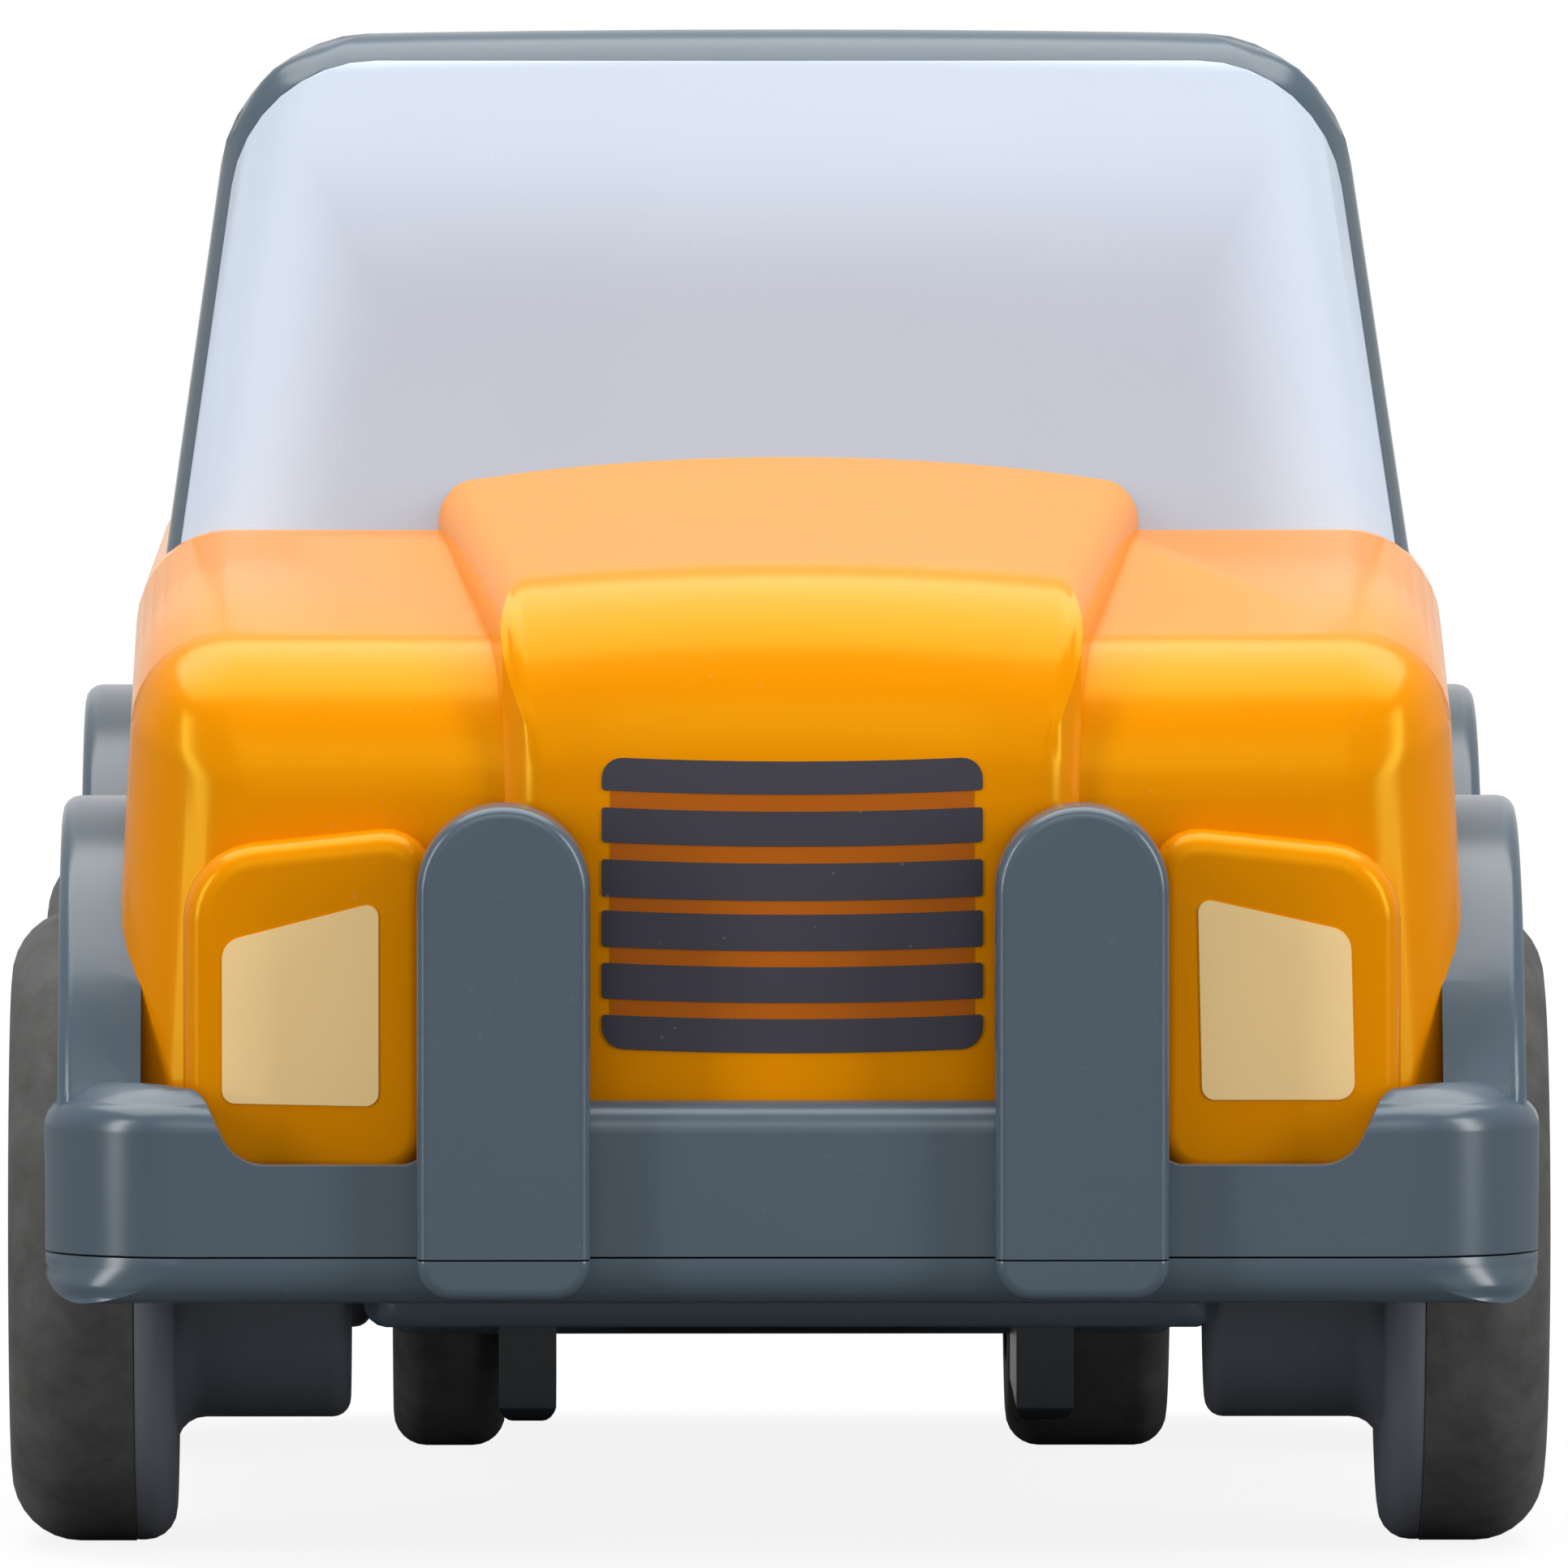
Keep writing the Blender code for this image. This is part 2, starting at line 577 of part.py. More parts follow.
def side_window_outlines(shrink):
    """Door window and rear side window, as seen from the side."""
    low = SIDE_WINDOW_BOTTOM_Z + shrink
    high = SIDE_WINDOW_TOP_Z - shrink
    margin = CABIN_CORNER + WINDOW_MARGIN
    door = [(screen_y(low) + margin + shrink, low), (DOOR_POST_Y - shrink, low),
            (DOOR_POST_Y - shrink, high), (screen_y(high) + margin + shrink, high)]
    start = DOOR_POST_Y + DOOR_POST_WIDTH + shrink
    end = CABIN_REAR_Y - margin - WINDOW_MARGIN - shrink
    quarter = [(start, low), (end, low), (end, high), (start, high)]
    return {"door_window": door, "rear_side_window": quarter}


def rear_window_outline(shrink):
    low = SIDE_WINDOW_BOTTOM_Z + shrink
    high = SIDE_WINDOW_TOP_Z - shrink
    wide = CABIN_HALF_WIDTH - CABIN_CORNER - 1.6 * MM - shrink
    narrow = wide - (high - low) * CABIN_SLOPE
    return [(-wide, low), (wide, low), (narrow, high), (-narrow, high)]


def build_cabin(slate, pane):
    bottom = BELT_Z + SEAM
    cabin = place("cabin_shell", cabin_loft("cabin_shell", 0.0, bottom), slate, smooth_angle=35)
    outer = helper("cabin_form", cabin_loft("cabin_form", 0.0, bottom))
    hollow = helper("cabin_hollow", cabin_loft("cabin_hollow", CABIN_WALL, bottom - 2.0 * MM, INNER_STEPS))
    cut(cabin, hollow)

    def pane_piece(name, mesh):
        piece = place(name, mesh, pane, smooth_angle=35)
        combine(piece, "INTERSECT", outer)
        cut(piece, hollow)

    cut(cabin, helper("screen_hole", screen_block("screen_hole", 0.0, 2.0 * MM)))
    pane_piece("windscreen", screen_block("windscreen", WINDOW_GAP, 0.0))
    holes = side_window_outlines(0.0)
    panes = side_window_outlines(WINDOW_GAP)
    for side, word in ((-1, "left"), (1, "right")):
        low, high = sorted((side * (CABIN_HALF_WIDTH - 8 * MM), side * (CABIN_HALF_WIDTH + 4 * MM)))
        for kind in holes:
            name = kind + "_" + word
            hole = prism(name + "_hole", rounded_corners(holes[kind], SIDE_WINDOW_CORNER), "X", low, high)
            cut(cabin, helper(name + "_hole", hole))
            pane_piece(name, prism(name, rounded_corners(panes[kind], SIDE_WINDOW_CORNER), "X", low, high))
    low = CABIN_REAR_Y - 8 * MM
    high = CABIN_REAR_Y + 4 * MM
    hole = prism("rear_hole", rounded_corners(rear_window_outline(0.0), SIDE_WINDOW_CORNER), "Y", low, high)
    cut(cabin, helper("rear_hole", hole))
    glass = rounded_corners(rear_window_outline(WINDOW_GAP), SIDE_WINDOW_CORNER)
    pane_piece("rear_window", prism("rear_window", glass, "Y", low, high))
    return cabin


def belt_outline(offset, front=BUMPER_FRONT_Y, rear=BUMPER_REAR_Y, half=BUMPER_HALF_WIDTH):
    return rounded_rectangle((-half + offset, front + offset), (half - offset, rear - offset),
                             BUMPER_CORNER - offset)


def bar_outline(x, low, high_round, inset):
    """A bull bar seen from the front: a round top, straight sides."""
    half = BAR_WIDTH / 2 - inset
    top = BAR_TOP_Z - BAR_WIDTH / 2
    if high_round:
        return [(x - half, low), (x + half, low)] + arc((x, top), half, 0, 180, 8)
    high = LIP_TOP_Z
    radius = LIP_ROUND - 0.1 * MM - inset
    return (arc((x + half - radius, low + inset + radius), radius, -90, 0)
            + [(x + half, high), (x - half, high)]
            + arc((x - half + radius, low + inset + radius), radius, 180, 270))


def bar_mesh(name, x, low, high_round):
    back = BUMPER_FRONT_Y + 1.0 * MM
    rings = []
    for y, inset in ((back, 0.0), (BAR_FRONT_Y + BAR_EDGE, 0.0), (BAR_FRONT_Y + 0.3 * BAR_EDGE, 0.3 * BAR_EDGE),
                     (BAR_FRONT_Y, BAR_EDGE)):
        rings.append([(px, y, pz) for px, pz in bar_outline(x, low, high_round, inset)])
    return loft(name, rings)


def bumper_top_profile():
    """What is taken off the front bumper's top: a low middle and a notch under each headlamp."""
    turn = NOTCH_ROUND
    above = BUMPER_TOP_Z + 5 * turn
    right = [(LAMP_NOTCH_INNER_X - turn, BUMPER_MIDDLE_Z)]
    right += [(LAMP_NOTCH_INNER_X, BUMPER_MIDDLE_Z - turn)]
    right += arc((LAMP_NOTCH_INNER_X + turn, LAMP_NOTCH_Z + turn), turn, 180, 270, 3)
    right += arc((LAMP_NOTCH_OUTER_X - 2 * turn, LAMP_NOTCH_Z + turn), turn, 270, 340, 3)
    right += arc((LAMP_NOTCH_OUTER_X + 0.3 * turn, BUMPER_TOP_Z - 1.5 * turn), 1.2 * turn, 160, 90, 3)
    right += [(BUMPER_HALF_WIDTH + turn, BUMPER_TOP_Z), (BUMPER_HALF_WIDTH + turn, above)]
    left = [(-x, z) for x, z in reversed(right)]
    return right + left


def flare_mesh(name, centre_z, radius):
    """A wheel arch flare, a curved band that runs down into the bumper frame."""
    outer = radius + FLARE_THICKNESS
    start = math.degrees(math.asin((FLARE_END_Z - centre_z) / radius))
    outline = (arc((0.0, 0.0), outer, start, 180 - start, FLARE_STEPS)
               + arc((0.0, 0.0), radius, 180 - start, start, FLARE_STEPS))
    inner = [(side_half_width(z + centre_z, -1.3 * PIECE_GAP), y, z) for y, z in outline]
    return loft(name, [inner, [(FLARE_OUTER_X, y, z) for y, z in outline]])


def build_bumper_frame(slate):
    bottom = LIP_TOP_Z + SEAM
    rings = []
    edge = BUMPER_EDGE
    for z, inset in ((bottom, 0.0), (BUMPER_TOP_Z - edge, 0.0), (BUMPER_TOP_Z - 0.3 * edge, 0.3 * edge),
                     (BUMPER_TOP_Z, edge)):
        rings.append([(x, y, z) for x, y in belt_outline(inset)])
    frame = place("bumper_frame", loft("bumper_frame", rings), slate, smooth_angle=35)
    inner = rounded_rectangle((-BODY_HALF_WIDTH - PIECE_GAP, BONNET_FRONT_Y - PIECE_GAP),
                              (BODY_HALF_WIDTH + PIECE_GAP, BODY_REAR_Y + PIECE_GAP),
                              TAIL_ROUND + PIECE_GAP)
    cut(frame, helper("frame_hollow", prism("frame_hollow", inner, "Z", BODY_BOTTOM_Z - 2 * MM, BUMPER_TOP_Z + MM)))
    notch = prism("notch_form", bumper_top_profile(), "Y", BAR_FRONT_Y - MM, BODY_FRONT_Y + 2 * MM)
    cut(frame, helper("notch_form", notch))
    for side, word in ((-1, "left"), (1, "right")):
        bar = bar_mesh("bull_bar_" + word, side * BAR_X, bottom, True)
        add(frame, helper("bull_bar_" + word, bar))
        for end, axle, radius in (("front", FRONT_AXLE, FRONT_ARCH_RADIUS), ("rear", REAR_ARCH, REAR_ARCH_RADIUS)):
            name = end + "_flare_" + word
            flare = helper(name, flare_mesh(name, axle.z, radius), axle)
            if side < 0:
                flare.rotation_euler = (0.0, 0.0, math.pi)
            cut(frame, wheel_well(end + "_frame_well_" + word, axle, radius, WHEEL_INNER_X - MM, side))
            add(frame, flare)
    return frame


def screw_places():
    """Body screws, from below through the base pan into bosses of the body shell."""
    side_x = BODY_HALF_WIDTH - WALL - SCREW_BOSS_RADIUS - PIECE_GAP
    return [(-side_x, SIDE_SCREW_Y), (side_x, SIDE_SCREW_Y), (0.0, NOSE_SCREW_Y)]


def build_body_bosses(body):
    holes = []
    for number, (x, y) in enumerate(screw_places()):
        name = "screw_boss_" + str(number)
        top = BOSS_TOP_Z if x else BONNET_FRONT_Z
        add(body, helper(name, rod_z(name, SCREW_BOSS_RADIUS, BODY_BOTTOM_Z, top), (x, y, 0.0)))
        if x:
            low, high = sorted((x, math.copysign(BODY_HALF_WIDTH - WALL / 2, x)))
            rib = box(name + "_rib", (low, y - WALL / 2, BODY_BOTTOM_Z + WALL / 2),
                      (high, y + WALL / 2, top - WALL / 2))
            add(body, helper(name + "_rib", rib))
        hole = rod_z(name + "_hole", SCREW_RADIUS + RUNNING_FIT, BODY_BOTTOM_Z - MM,
                     SCREW_SEAT_Z + SCREW_LENGTH + MM)
        holes.append(helper(name + "_hole", hole, (x, y, 0.0)))
    cut(body, *holes)


def build_base_pan(slate):
    rings = []
    for step in range(ARC_STEPS + 1):
        angle = math.radians(90.0 * step / ARC_STEPS)
        rings.append((BUMPER_BOTTOM_Z + LIP_ROUND * (1.0 - math.cos(angle)), LIP_ROUND * (1.0 - math.sin(angle))))
    rings.append((LIP_TOP_Z, 0.0))
    plate = loft("base_pan", [[(x, y, z) for x, y in belt_outline(inset)] for z, inset in rings])
    pan = place("base_pan", plate, slate, smooth_angle=35)
    add_belly(pan)
    add_sump(pan)
    for side, word in ((-1, "left"), (1, "right")):
        add(pan, helper("bar_foot_" + word, bar_mesh("bar_foot_" + word, side * BAR_X, BAR_BOTTOM_Z, False)))
        add_guide_fin(pan, side, word)
        add_axle_saddle(pan, side, word)
        for end, arch, radius in (("front", FRONT_AXLE, FRONT_ARCH_RADIUS), ("rear", REAR_ARCH, REAR_ARCH_RADIUS)):
            cut(pan, wheel_well(end + "_pan_well_" + word, arch, radius, LINER_X, side))
        for end, axle in (("front", FRONT_AXLE), ("rear", REAR_AXLE)):
            cut(pan, wheel_well(end + "_hub_well_" + word, axle, HUB_RADIUS + HUB_CLEARANCE,
                                HUB_END_X - HUB_CLEARANCE, side))
    slot_radius = AXLE_RADIUS + RUNNING_FIT
    cut(pan, helper("axle_slot", rod_x("axle_slot", slot_radius, -HUB_END_X, HUB_END_X), FRONT_AXLE))
    mouth = box("axle_mouth", (-HUB_END_X, -slot_radius, 0.0), (HUB_END_X, slot_radius, 6 * MM))
    cut(pan, helper("axle_mouth", mouth, FRONT_AXLE))
    for number, (x, y) in enumerate(screw_places()):
        name = "pan_screw_hole_" + str(number)
        shank = rod_z(name, SCREW_RADIUS + 3 * RUNNING_FIT, BELLY_Z - 2 * MM, LIP_TOP_Z + MM)
        cut(pan, helper(name, shank, (x, y, 0.0)))
        name = "pan_screw_recess_" + str(number)
        head = rod_z(name, SCREW_HEAD_RADIUS + 3 * RUNNING_FIT, BELLY_Z - 2 * MM, SCREW_SEAT_Z)
        cut(pan, helper(name, head, (x, y, 0.0)))
    return pan


def add_belly(pan):
    levels = ((BELLY_Z, BELLY_CHAMFER), (BELLY_Z + BELLY_CHAMFER, 0.0), (BUMPER_BOTTOM_Z + LIP_ROUND, 0.0))
    rings = []
    for z, inset in levels:
        outline = rounded_rectangle((-BELLY_HALF_WIDTH + inset, BELLY_FRONT_Y + inset),
                                    (BELLY_HALF_WIDTH - inset, SUMP_FRONT_Y + 2 * SUMP_WALL), BELLY_CORNER)
        rings.append([(x, y, z) for x, y in outline])
    add(pan, helper("belly_form", loft("belly_form", rings)))


def add_sump(pan):
    """The deep tray under the motor, open at the top, with a slot for each drive wheel."""
    rings = []
    for z, inset in ((SUMP_BOTTOM_Z, SUMP_EDGE), (SUMP_BOTTOM_Z + SUMP_EDGE, 0.0), (LIP_TOP_Z - 0.4 * MM, 0.0)):
        outline = rounded_rectangle((-SUMP_HALF_WIDTH + inset, SUMP_FRONT_Y + inset),
                                    (SUMP_HALF_WIDTH - inset, SUMP_REAR_Y - inset), SUMP_CORNER, 2)
        rings.append([(x, y, z) for x, y in outline])
    add(pan, helper("sump_form", loft("sump_form", rings)))
    inside = rounded_rectangle((-SUMP_HALF_WIDTH + SUMP_WALL, SUMP_FRONT_Y + SUMP_WALL),
                               (SUMP_HALF_WIDTH - SUMP_WALL, SUMP_REAR_Y - SUMP_WALL), SUMP_CORNER / 2, 2)
    hollow = prism("sump_hollow", inside, "Z", SUMP_BOTTOM_Z + SUMP_WALL, LIP_TOP_Z + MM)
    cut(pan, helper("sump_hollow", hollow))
    reach = WHEEL_RADIUS + DRIVE_SLOT_GAP
    for side, width, word in drive_wheels():
        inner = DRIVE_WHEEL_OUTER_X - width - DRIVE_SLOT_GAP
        low, high = sorted((side * inner, side * (SUMP_HALF_WIDTH + MM)))
        slot = box("drive_slot_" + word, (low, REAR_AXLE_Y - reach, SUMP_BOTTOM_Z - MM),
                   (high, REAR_AXLE_Y + reach, LIP_TOP_Z + MM))
        cut(pan, helper("drive_slot_" + word, slot))


def add_guide_fin(pan, side, word):
    low, high = sorted((side * FIN_INNER_X, side * (FIN_INNER_X + FIN_WIDTH)))
    outline = rounded_rectangle((low, FIN_BOTTOM_Z), (high, BELLY_Z + MM), FIN_CORNER, 2)
    fin = prism("guide_fin_" + word, outline, "Y", FIN_FRONT_Y, FIN_REAR_Y)
    add(pan, helper("guide_fin_" + word, fin))


def add_axle_saddle(pan, side, word):
    low = (side * SADDLE_X - SADDLE_WIDTH / 2, FRONT_AXLE_Y - SADDLE_LENGTH / 2, LIP_TOP_Z - 0.5 * MM)
    high = (side * SADDLE_X + SADDLE_WIDTH / 2, FRONT_AXLE_Y + SADDLE_LENGTH / 2,
            FRONT_AXLE.z + AXLE_RADIUS + RUNNING_FIT)
    add(pan, helper("saddle_" + word, box("saddle_" + word, low, high)))


def build_axle_retainer(dark):
    """The cap that holds the front axle down in its saddles."""
    low = FRONT_AXLE.z + AXLE_RADIUS + RUNNING_FIT + SEAM
    reach = SADDLE_X + SADDLE_WIDTH / 2
    plate = box("front_axle_retainer", (-reach, FRONT_AXLE_Y - SADDLE_LENGTH / 2, low),
                (reach, FRONT_AXLE_Y + SADDLE_LENGTH / 2, low + RETAINER_THICKNESS))
    return place("front_axle_retainer", plate, dark)


def drive_wheels():
    """Side, tyre width and name of each drive wheel; the right one is wider."""
    return ((-1, DRIVE_WHEEL_LEFT_WIDTH, "left"), (1, DRIVE_WHEEL_RIGHT_WIDTH, "right"))


def hull(points):
    """Convex outline round a set of points."""
    points = sorted(set(points))

    def half(run):
        chain = []
        for point in run:
            while len(chain) > 1:
                (ax, ay), (bx, by) = chain[-2], chain[-1]
                if (bx - ax) * (point[1] - ay) - (by - ay) * (point[0] - ax) > 0.0:
                    break
                chain.pop()
            chain.append(point)
        return chain[:-1]

    return half(points) + half(points[::-1])


def gearbox_outline(margin, bottom):
    """Belt line round the four shafts of the gear train, cut off flat at the bottom."""
    axle, first, second, flywheel = motor_centres()
    radii = (gear_tip_radius(AXLE_GEAR_TEETH), gear_tip_radius(FIRST_GEAR_TEETH),
             gear_tip_radius(SECOND_GEAR_TEETH), FLYWHEEL_RADIUS)
    points = []
    for centre, radius in zip((axle, first, second, flywheel), radii):
        for y, z in arc(centre, radius + margin, 0, 360, BOX_CORNER_STEPS)[:-1]:
            points.append((y, max(z, bottom)))
    return hull(points)


def gear_tip_radius(teeth):
    addendum = PINION_ADDENDUM if teeth == PINION_TEETH else GEAR_ADDENDUM
    return MODULE * (teeth / 2 + addendum)


def gear_outline(teeth, phase):
    """Involute teeth; the phase is the angle of one tooth's middle."""
    pitch = MODULE * teeth / 2
    base = pitch * math.cos(PRESSURE_ANGLE)
    root = pitch - MODULE * DEDENDUM
    tip = gear_tip_radius(teeth)

    def involute(angle):
        return math.tan(angle) - angle

    half_pitch = math.pi / (2 * teeth) - BACKLASH / (2 * pitch) + involute(PRESSURE_ANGLE)

    def half_angle(radius):
        return half_pitch - involute(math.acos(min(base / radius, 1.0)))

    flank = [(root, half_angle(max(base, root)))]
    if teeth == PINION_TEETH:
        flank.append((base, half_angle(base)))
    flank.append((pitch, half_angle(pitch)))
    flank.append((tip, half_angle(tip)))
    outline = []
    for tooth in range(teeth):
        middle = phase + 2 * math.pi * tooth / teeth
        outline += [(r * math.cos(middle - a), r * math.sin(middle - a)) for r, a in flank]
        outline += [(r * math.cos(middle + a), r * math.sin(middle + a)) for r, a in reversed(flank)]
    return outline


def mating_phase(angle, phase, teeth, mate_teeth):
    """Tooth angle of the mate so that its gap meets the tooth of the first gear."""
    return angle + math.pi + math.pi / mate_teeth - (phase - angle) * teeth / mate_teeth


def motor_centres():
    """Shaft centres (y, z) of the gear train, laid out from the rear axle."""
    def step(start, teeth, mate_teeth, angle):
        distance = (teeth + mate_teeth) * MODULE / 2
        return (start[0] + distance * math.cos(angle), start[1] + distance * math.sin(angle))

    axle = (REAR_AXLE.y, REAR_AXLE.z)
    first = step(axle, AXLE_GEAR_TEETH, PINION_TEETH, FIRST_ANGLE)
    second = step(first, FIRST_GEAR_TEETH, PINION_TEETH, SECOND_ANGLE)
    flywheel = step(second, SECOND_GEAR_TEETH, PINION_TEETH, FLYWHEEL_ANGLE)
    return axle, first, second, flywheel


def gear_piece(name, material, centre, wheel, pinion, bore):
    """A gear on its shaft centre; wheel and pinion are (teeth, phase, low x, high x) or None."""
    location = (0.0, centre[0], centre[1])
    first = wheel or pinion
    mesh = prism(name, gear_outline(first[0], first[1]), "X", first[2], first[3])
    gear = place(name, mesh, material, location)
    if wheel and pinion:
        teeth, phase, low, high = pinion
        add(gear, helper(name + "_pinion", prism(name + "_pinion", gear_outline(teeth, phase), "X", low, high),
                         location))
    cut(gear, helper(name + "_bore", rod_x(name + "_bore", bore, -BOX_RIGHT_X, BOX_RIGHT_X), location))
    return gear


def build_motor(brass, white, steel):
    """Gear train from the rear axle up to the flywheel, each mesh in its own layer."""
    axle, first, second, flywheel = motor_centres()
    step = GEAR_WIDTH + GEAR_SIDE_GAP
    top = BOX_RIGHT_X - BOX_WALL - GEAR_SIDE_GAP
    layers = [(top - GEAR_WIDTH - i * step, top - i * step) for i in range(3)]
    overlap = 0.1 * MM
    pin_bore = GEAR_PIN_RADIUS + RUNNING_FIT

    gear_piece("axle_gear", white, axle, (AXLE_GEAR_TEETH, 0.0, *layers[0]), None, AXLE_RADIUS + RUNNING_FIT)
    phase = mating_phase(FIRST_ANGLE, 0.0, AXLE_GEAR_TEETH, PINION_TEETH)
    gear_piece("first_gear", white, first, (FIRST_GEAR_TEETH, 0.0, *layers[1]),
               (PINION_TEETH, phase, layers[1][1] - overlap, layers[0][1]), pin_bore)
    phase = mating_phase(SECOND_ANGLE, 0.0, FIRST_GEAR_TEETH, PINION_TEETH)
    gear_piece("second_gear", white, second, (SECOND_GEAR_TEETH, 0.0, *layers[2]),
               (PINION_TEETH, phase, layers[2][1] - overlap, layers[1][1]), pin_bore)
    phase = mating_phase(FLYWHEEL_ANGLE, 0.0, SECOND_GEAR_TEETH, PINION_TEETH)
    wheel_low = BOX_LEFT_X + BOX_WALL + GEAR_SIDE_GAP
    wheel_high = wheel_low + FLYWHEEL_WIDTH
    gear_piece("flywheel_pinion", brass, flywheel, None,
               (PINION_TEETH, phase, wheel_high + SEAM, layers[2][1]), pin_bore)
    rim = FLYWHEEL_RADIUS * FLYWHEEL_RIM_SHARE
    web_low = (wheel_low + wheel_high - FLYWHEEL_WEB) / 2
    web_high = web_low + FLYWHEEL_WEB
    profile = [(wheel_low, pin_bore), (wheel_high, pin_bore), (wheel_high, FLYWHEEL_HUB_RADIUS),
               (web_high, FLYWHEEL_HUB_RADIUS), (web_high, rim), (wheel_high, rim),
               (wheel_high, FLYWHEEL_RADIUS), (wheel_low, FLYWHEEL_RADIUS), (wheel_low, rim),
               (web_low, rim), (web_low, FLYWHEEL_HUB_RADIUS), (wheel_low, FLYWHEEL_HUB_RADIUS)]
    place("flywheel", turn_about_x("flywheel", profile, MOTOR_FACETS), steel, (0.0, *flywheel), 35)
    for name, centre in (("first_gear_pin", first), ("second_gear_pin", second), ("flywheel_pin", flywheel)):
        pin = rod_x(name, GEAR_PIN_RADIUS, BOX_LEFT_X, BOX_RIGHT_X)
        place(name, pin, steel, (0.0, *centre), 35)


def build_gearbox(dark, bronze):
    bottom = SUMP_BOTTOM_Z + SUMP_WALL + PIECE_GAP
    outer = gearbox_outline(BOX_MARGIN + BOX_WALL, bottom)
    inner = gearbox_outline(BOX_MARGIN, bottom - 3 * MM)
    cavity = helper("gearbox_cavity", prism("gearbox_cavity", inner, "X", BOX_LEFT_X + BOX_WALL,
                                            BOX_RIGHT_X - BOX_WALL))
    axle, first, second, flywheel = motor_centres()
    halves = (("gearbox_left", BOX_LEFT_X, BOX_SPLIT_X), ("gearbox_right", BOX_SPLIT_X + SEAM, BOX_RIGHT_X))
    for name, low, high in halves:
        half = place(name, prism(name, outer, "X", low, high), dark)
        cut(half, cavity)
        bush = rod_x(name + "_bush_hole", AXLE_BUSH_RADIUS + RUNNING_FIT, low - MM, high + MM)
        cut(half, helper(name + "_bush_hole", bush, (0.0, *axle)))
        for number, centre in enumerate((first, second, flywheel)):
            hole = name + "_pin_hole_" + str(number)
            cut(half, helper(hole, rod_x(hole, GEAR_PIN_RADIUS + RUNNING_FIT, low - MM, high + MM), (0.0, *centre)))
    for word, low in (("left", BOX_LEFT_X), ("right", BOX_RIGHT_X - BOX_WALL)):
        bore = AXLE_RADIUS + RUNNING_FIT
        profile = [(low, bore), (low + BOX_WALL, bore), (low + BOX_WALL, AXLE_BUSH_RADIUS), (low, AXLE_BUSH_RADIUS)]
        name = "axle_bush_" + word
        place(name, turn_about_x(name, profile, SMALL_FACETS), bronze, REAR_AXLE, 35)


def wheel_core_profile(inner_x, radius):
    """Half section of a plastic wheel from its inner hub to its dished outer face."""
    bore = AXLE_RADIUS + RUNNING_FIT
    flange = inner_x + RIM_FLANGE_WIDTH
    outer = WHEEL_OUTER_X - 0.5 * MM
    dish = outer - 1.6 * MM
    return [(HUB_END_X, bore), (outer, bore), (outer, HUB_CAP_RADIUS), (dish, HUB_CAP_RADIUS + 0.8 * MM),
            (dish, RIM_RADIUS - 1.6 * MM), (outer, RIM_RADIUS), (flange, RIM_RADIUS), (flange, radius - 0.1 * MM),
            (inner_x + 0.7 * MM, radius - 0.1 * MM), (inner_x, radius - 1.0 * MM),
            (inner_x, HUB_RADIUS + HUB_FILLET), (inner_x - HUB_FILLET, HUB_RADIUS),
            (HUB_END_X + HUB_EDGE, HUB_RADIUS), (HUB_END_X, HUB_RADIUS - HUB_EDGE)]


def tyre_profile(inner_x, outer_x, bore, radius, inner_edge, outer_edge):
    """Half section of a soft tyre with two rounded tread corners."""
    crown = [(inner_x, radius - inner_edge), (inner_x + 0.3 * inner_edge, radius - 0.3 * inner_edge),
             (inner_x + inner_edge, radius)]
    shoulder = [(outer_x - outer_edge, radius), (outer_x - 0.3 * outer_edge, radius - 0.3 * outer_edge),
                (outer_x, radius - outer_edge)]
    return [(outer_x, bore), (inner_x, bore)] + crown + shoulder


def build_axle_set(end, axle, inner_x, radius, shift, grey, rubber, steel):
    """A steel axle with a plastic wheel and a tyre at each end."""
    core = turn_about_x(end + "_wheel", wheel_core_profile(inner_x, radius), WHEEL_FACETS)
    bore = RIM_RADIUS + RUNNING_FIT
    profile = tyre_profile(inner_x + RIM_FLANGE_WIDTH + SEAM, WHEEL_OUTER_X, bore, radius, TYRE_INNER_EDGE,
                           TYRE_OUTER_EDGE)
    tyre = turn_about_x(end + "_tyre", profile, WHEEL_FACETS)
    centre = axle + Vector((shift, 0.0, 0.0))
    for side, word in ((-1, "left"), (1, "right")):
        for name, mesh, material in ((end + "_wheel_", core, grey), (end + "_tyre_", tyre, rubber)):
            piece = place(name + word, mesh.copy(), material, centre, 35)
            if side < 0:
                piece.rotation_euler = (0.0, 0.0, math.pi)
            if material is grey:
                for lug in range(LUG_COUNT):
                    add_lug_hole(piece, name + word, centre, side, lug)
    reach = WHEEL_OUTER_X - 1.2 * MM
    place(end + "_axle", rod_x(end + "_axle", AXLE_RADIUS, -reach, reach), steel, centre, 35)


def add_lug_hole(piece, name, centre, side, lug):
    """One of the round pockets in the wheel's dish."""
    angle = 2 * math.pi * lug / LUG_COUNT
    offset = Vector((0.0, LUG_CIRCLE * math.cos(angle), LUG_CIRCLE * math.sin(angle)))
    low, high = sorted((side * (WHEEL_OUTER_X - LUG_DEPTH), side * (WHEEL_OUTER_X + MM)))
    hole = name + "_lug_" + str(lug)
    cut(piece, helper(hole, rod_x(hole, LUG_RADIUS, low, high, LUG_FACETS), centre + offset))


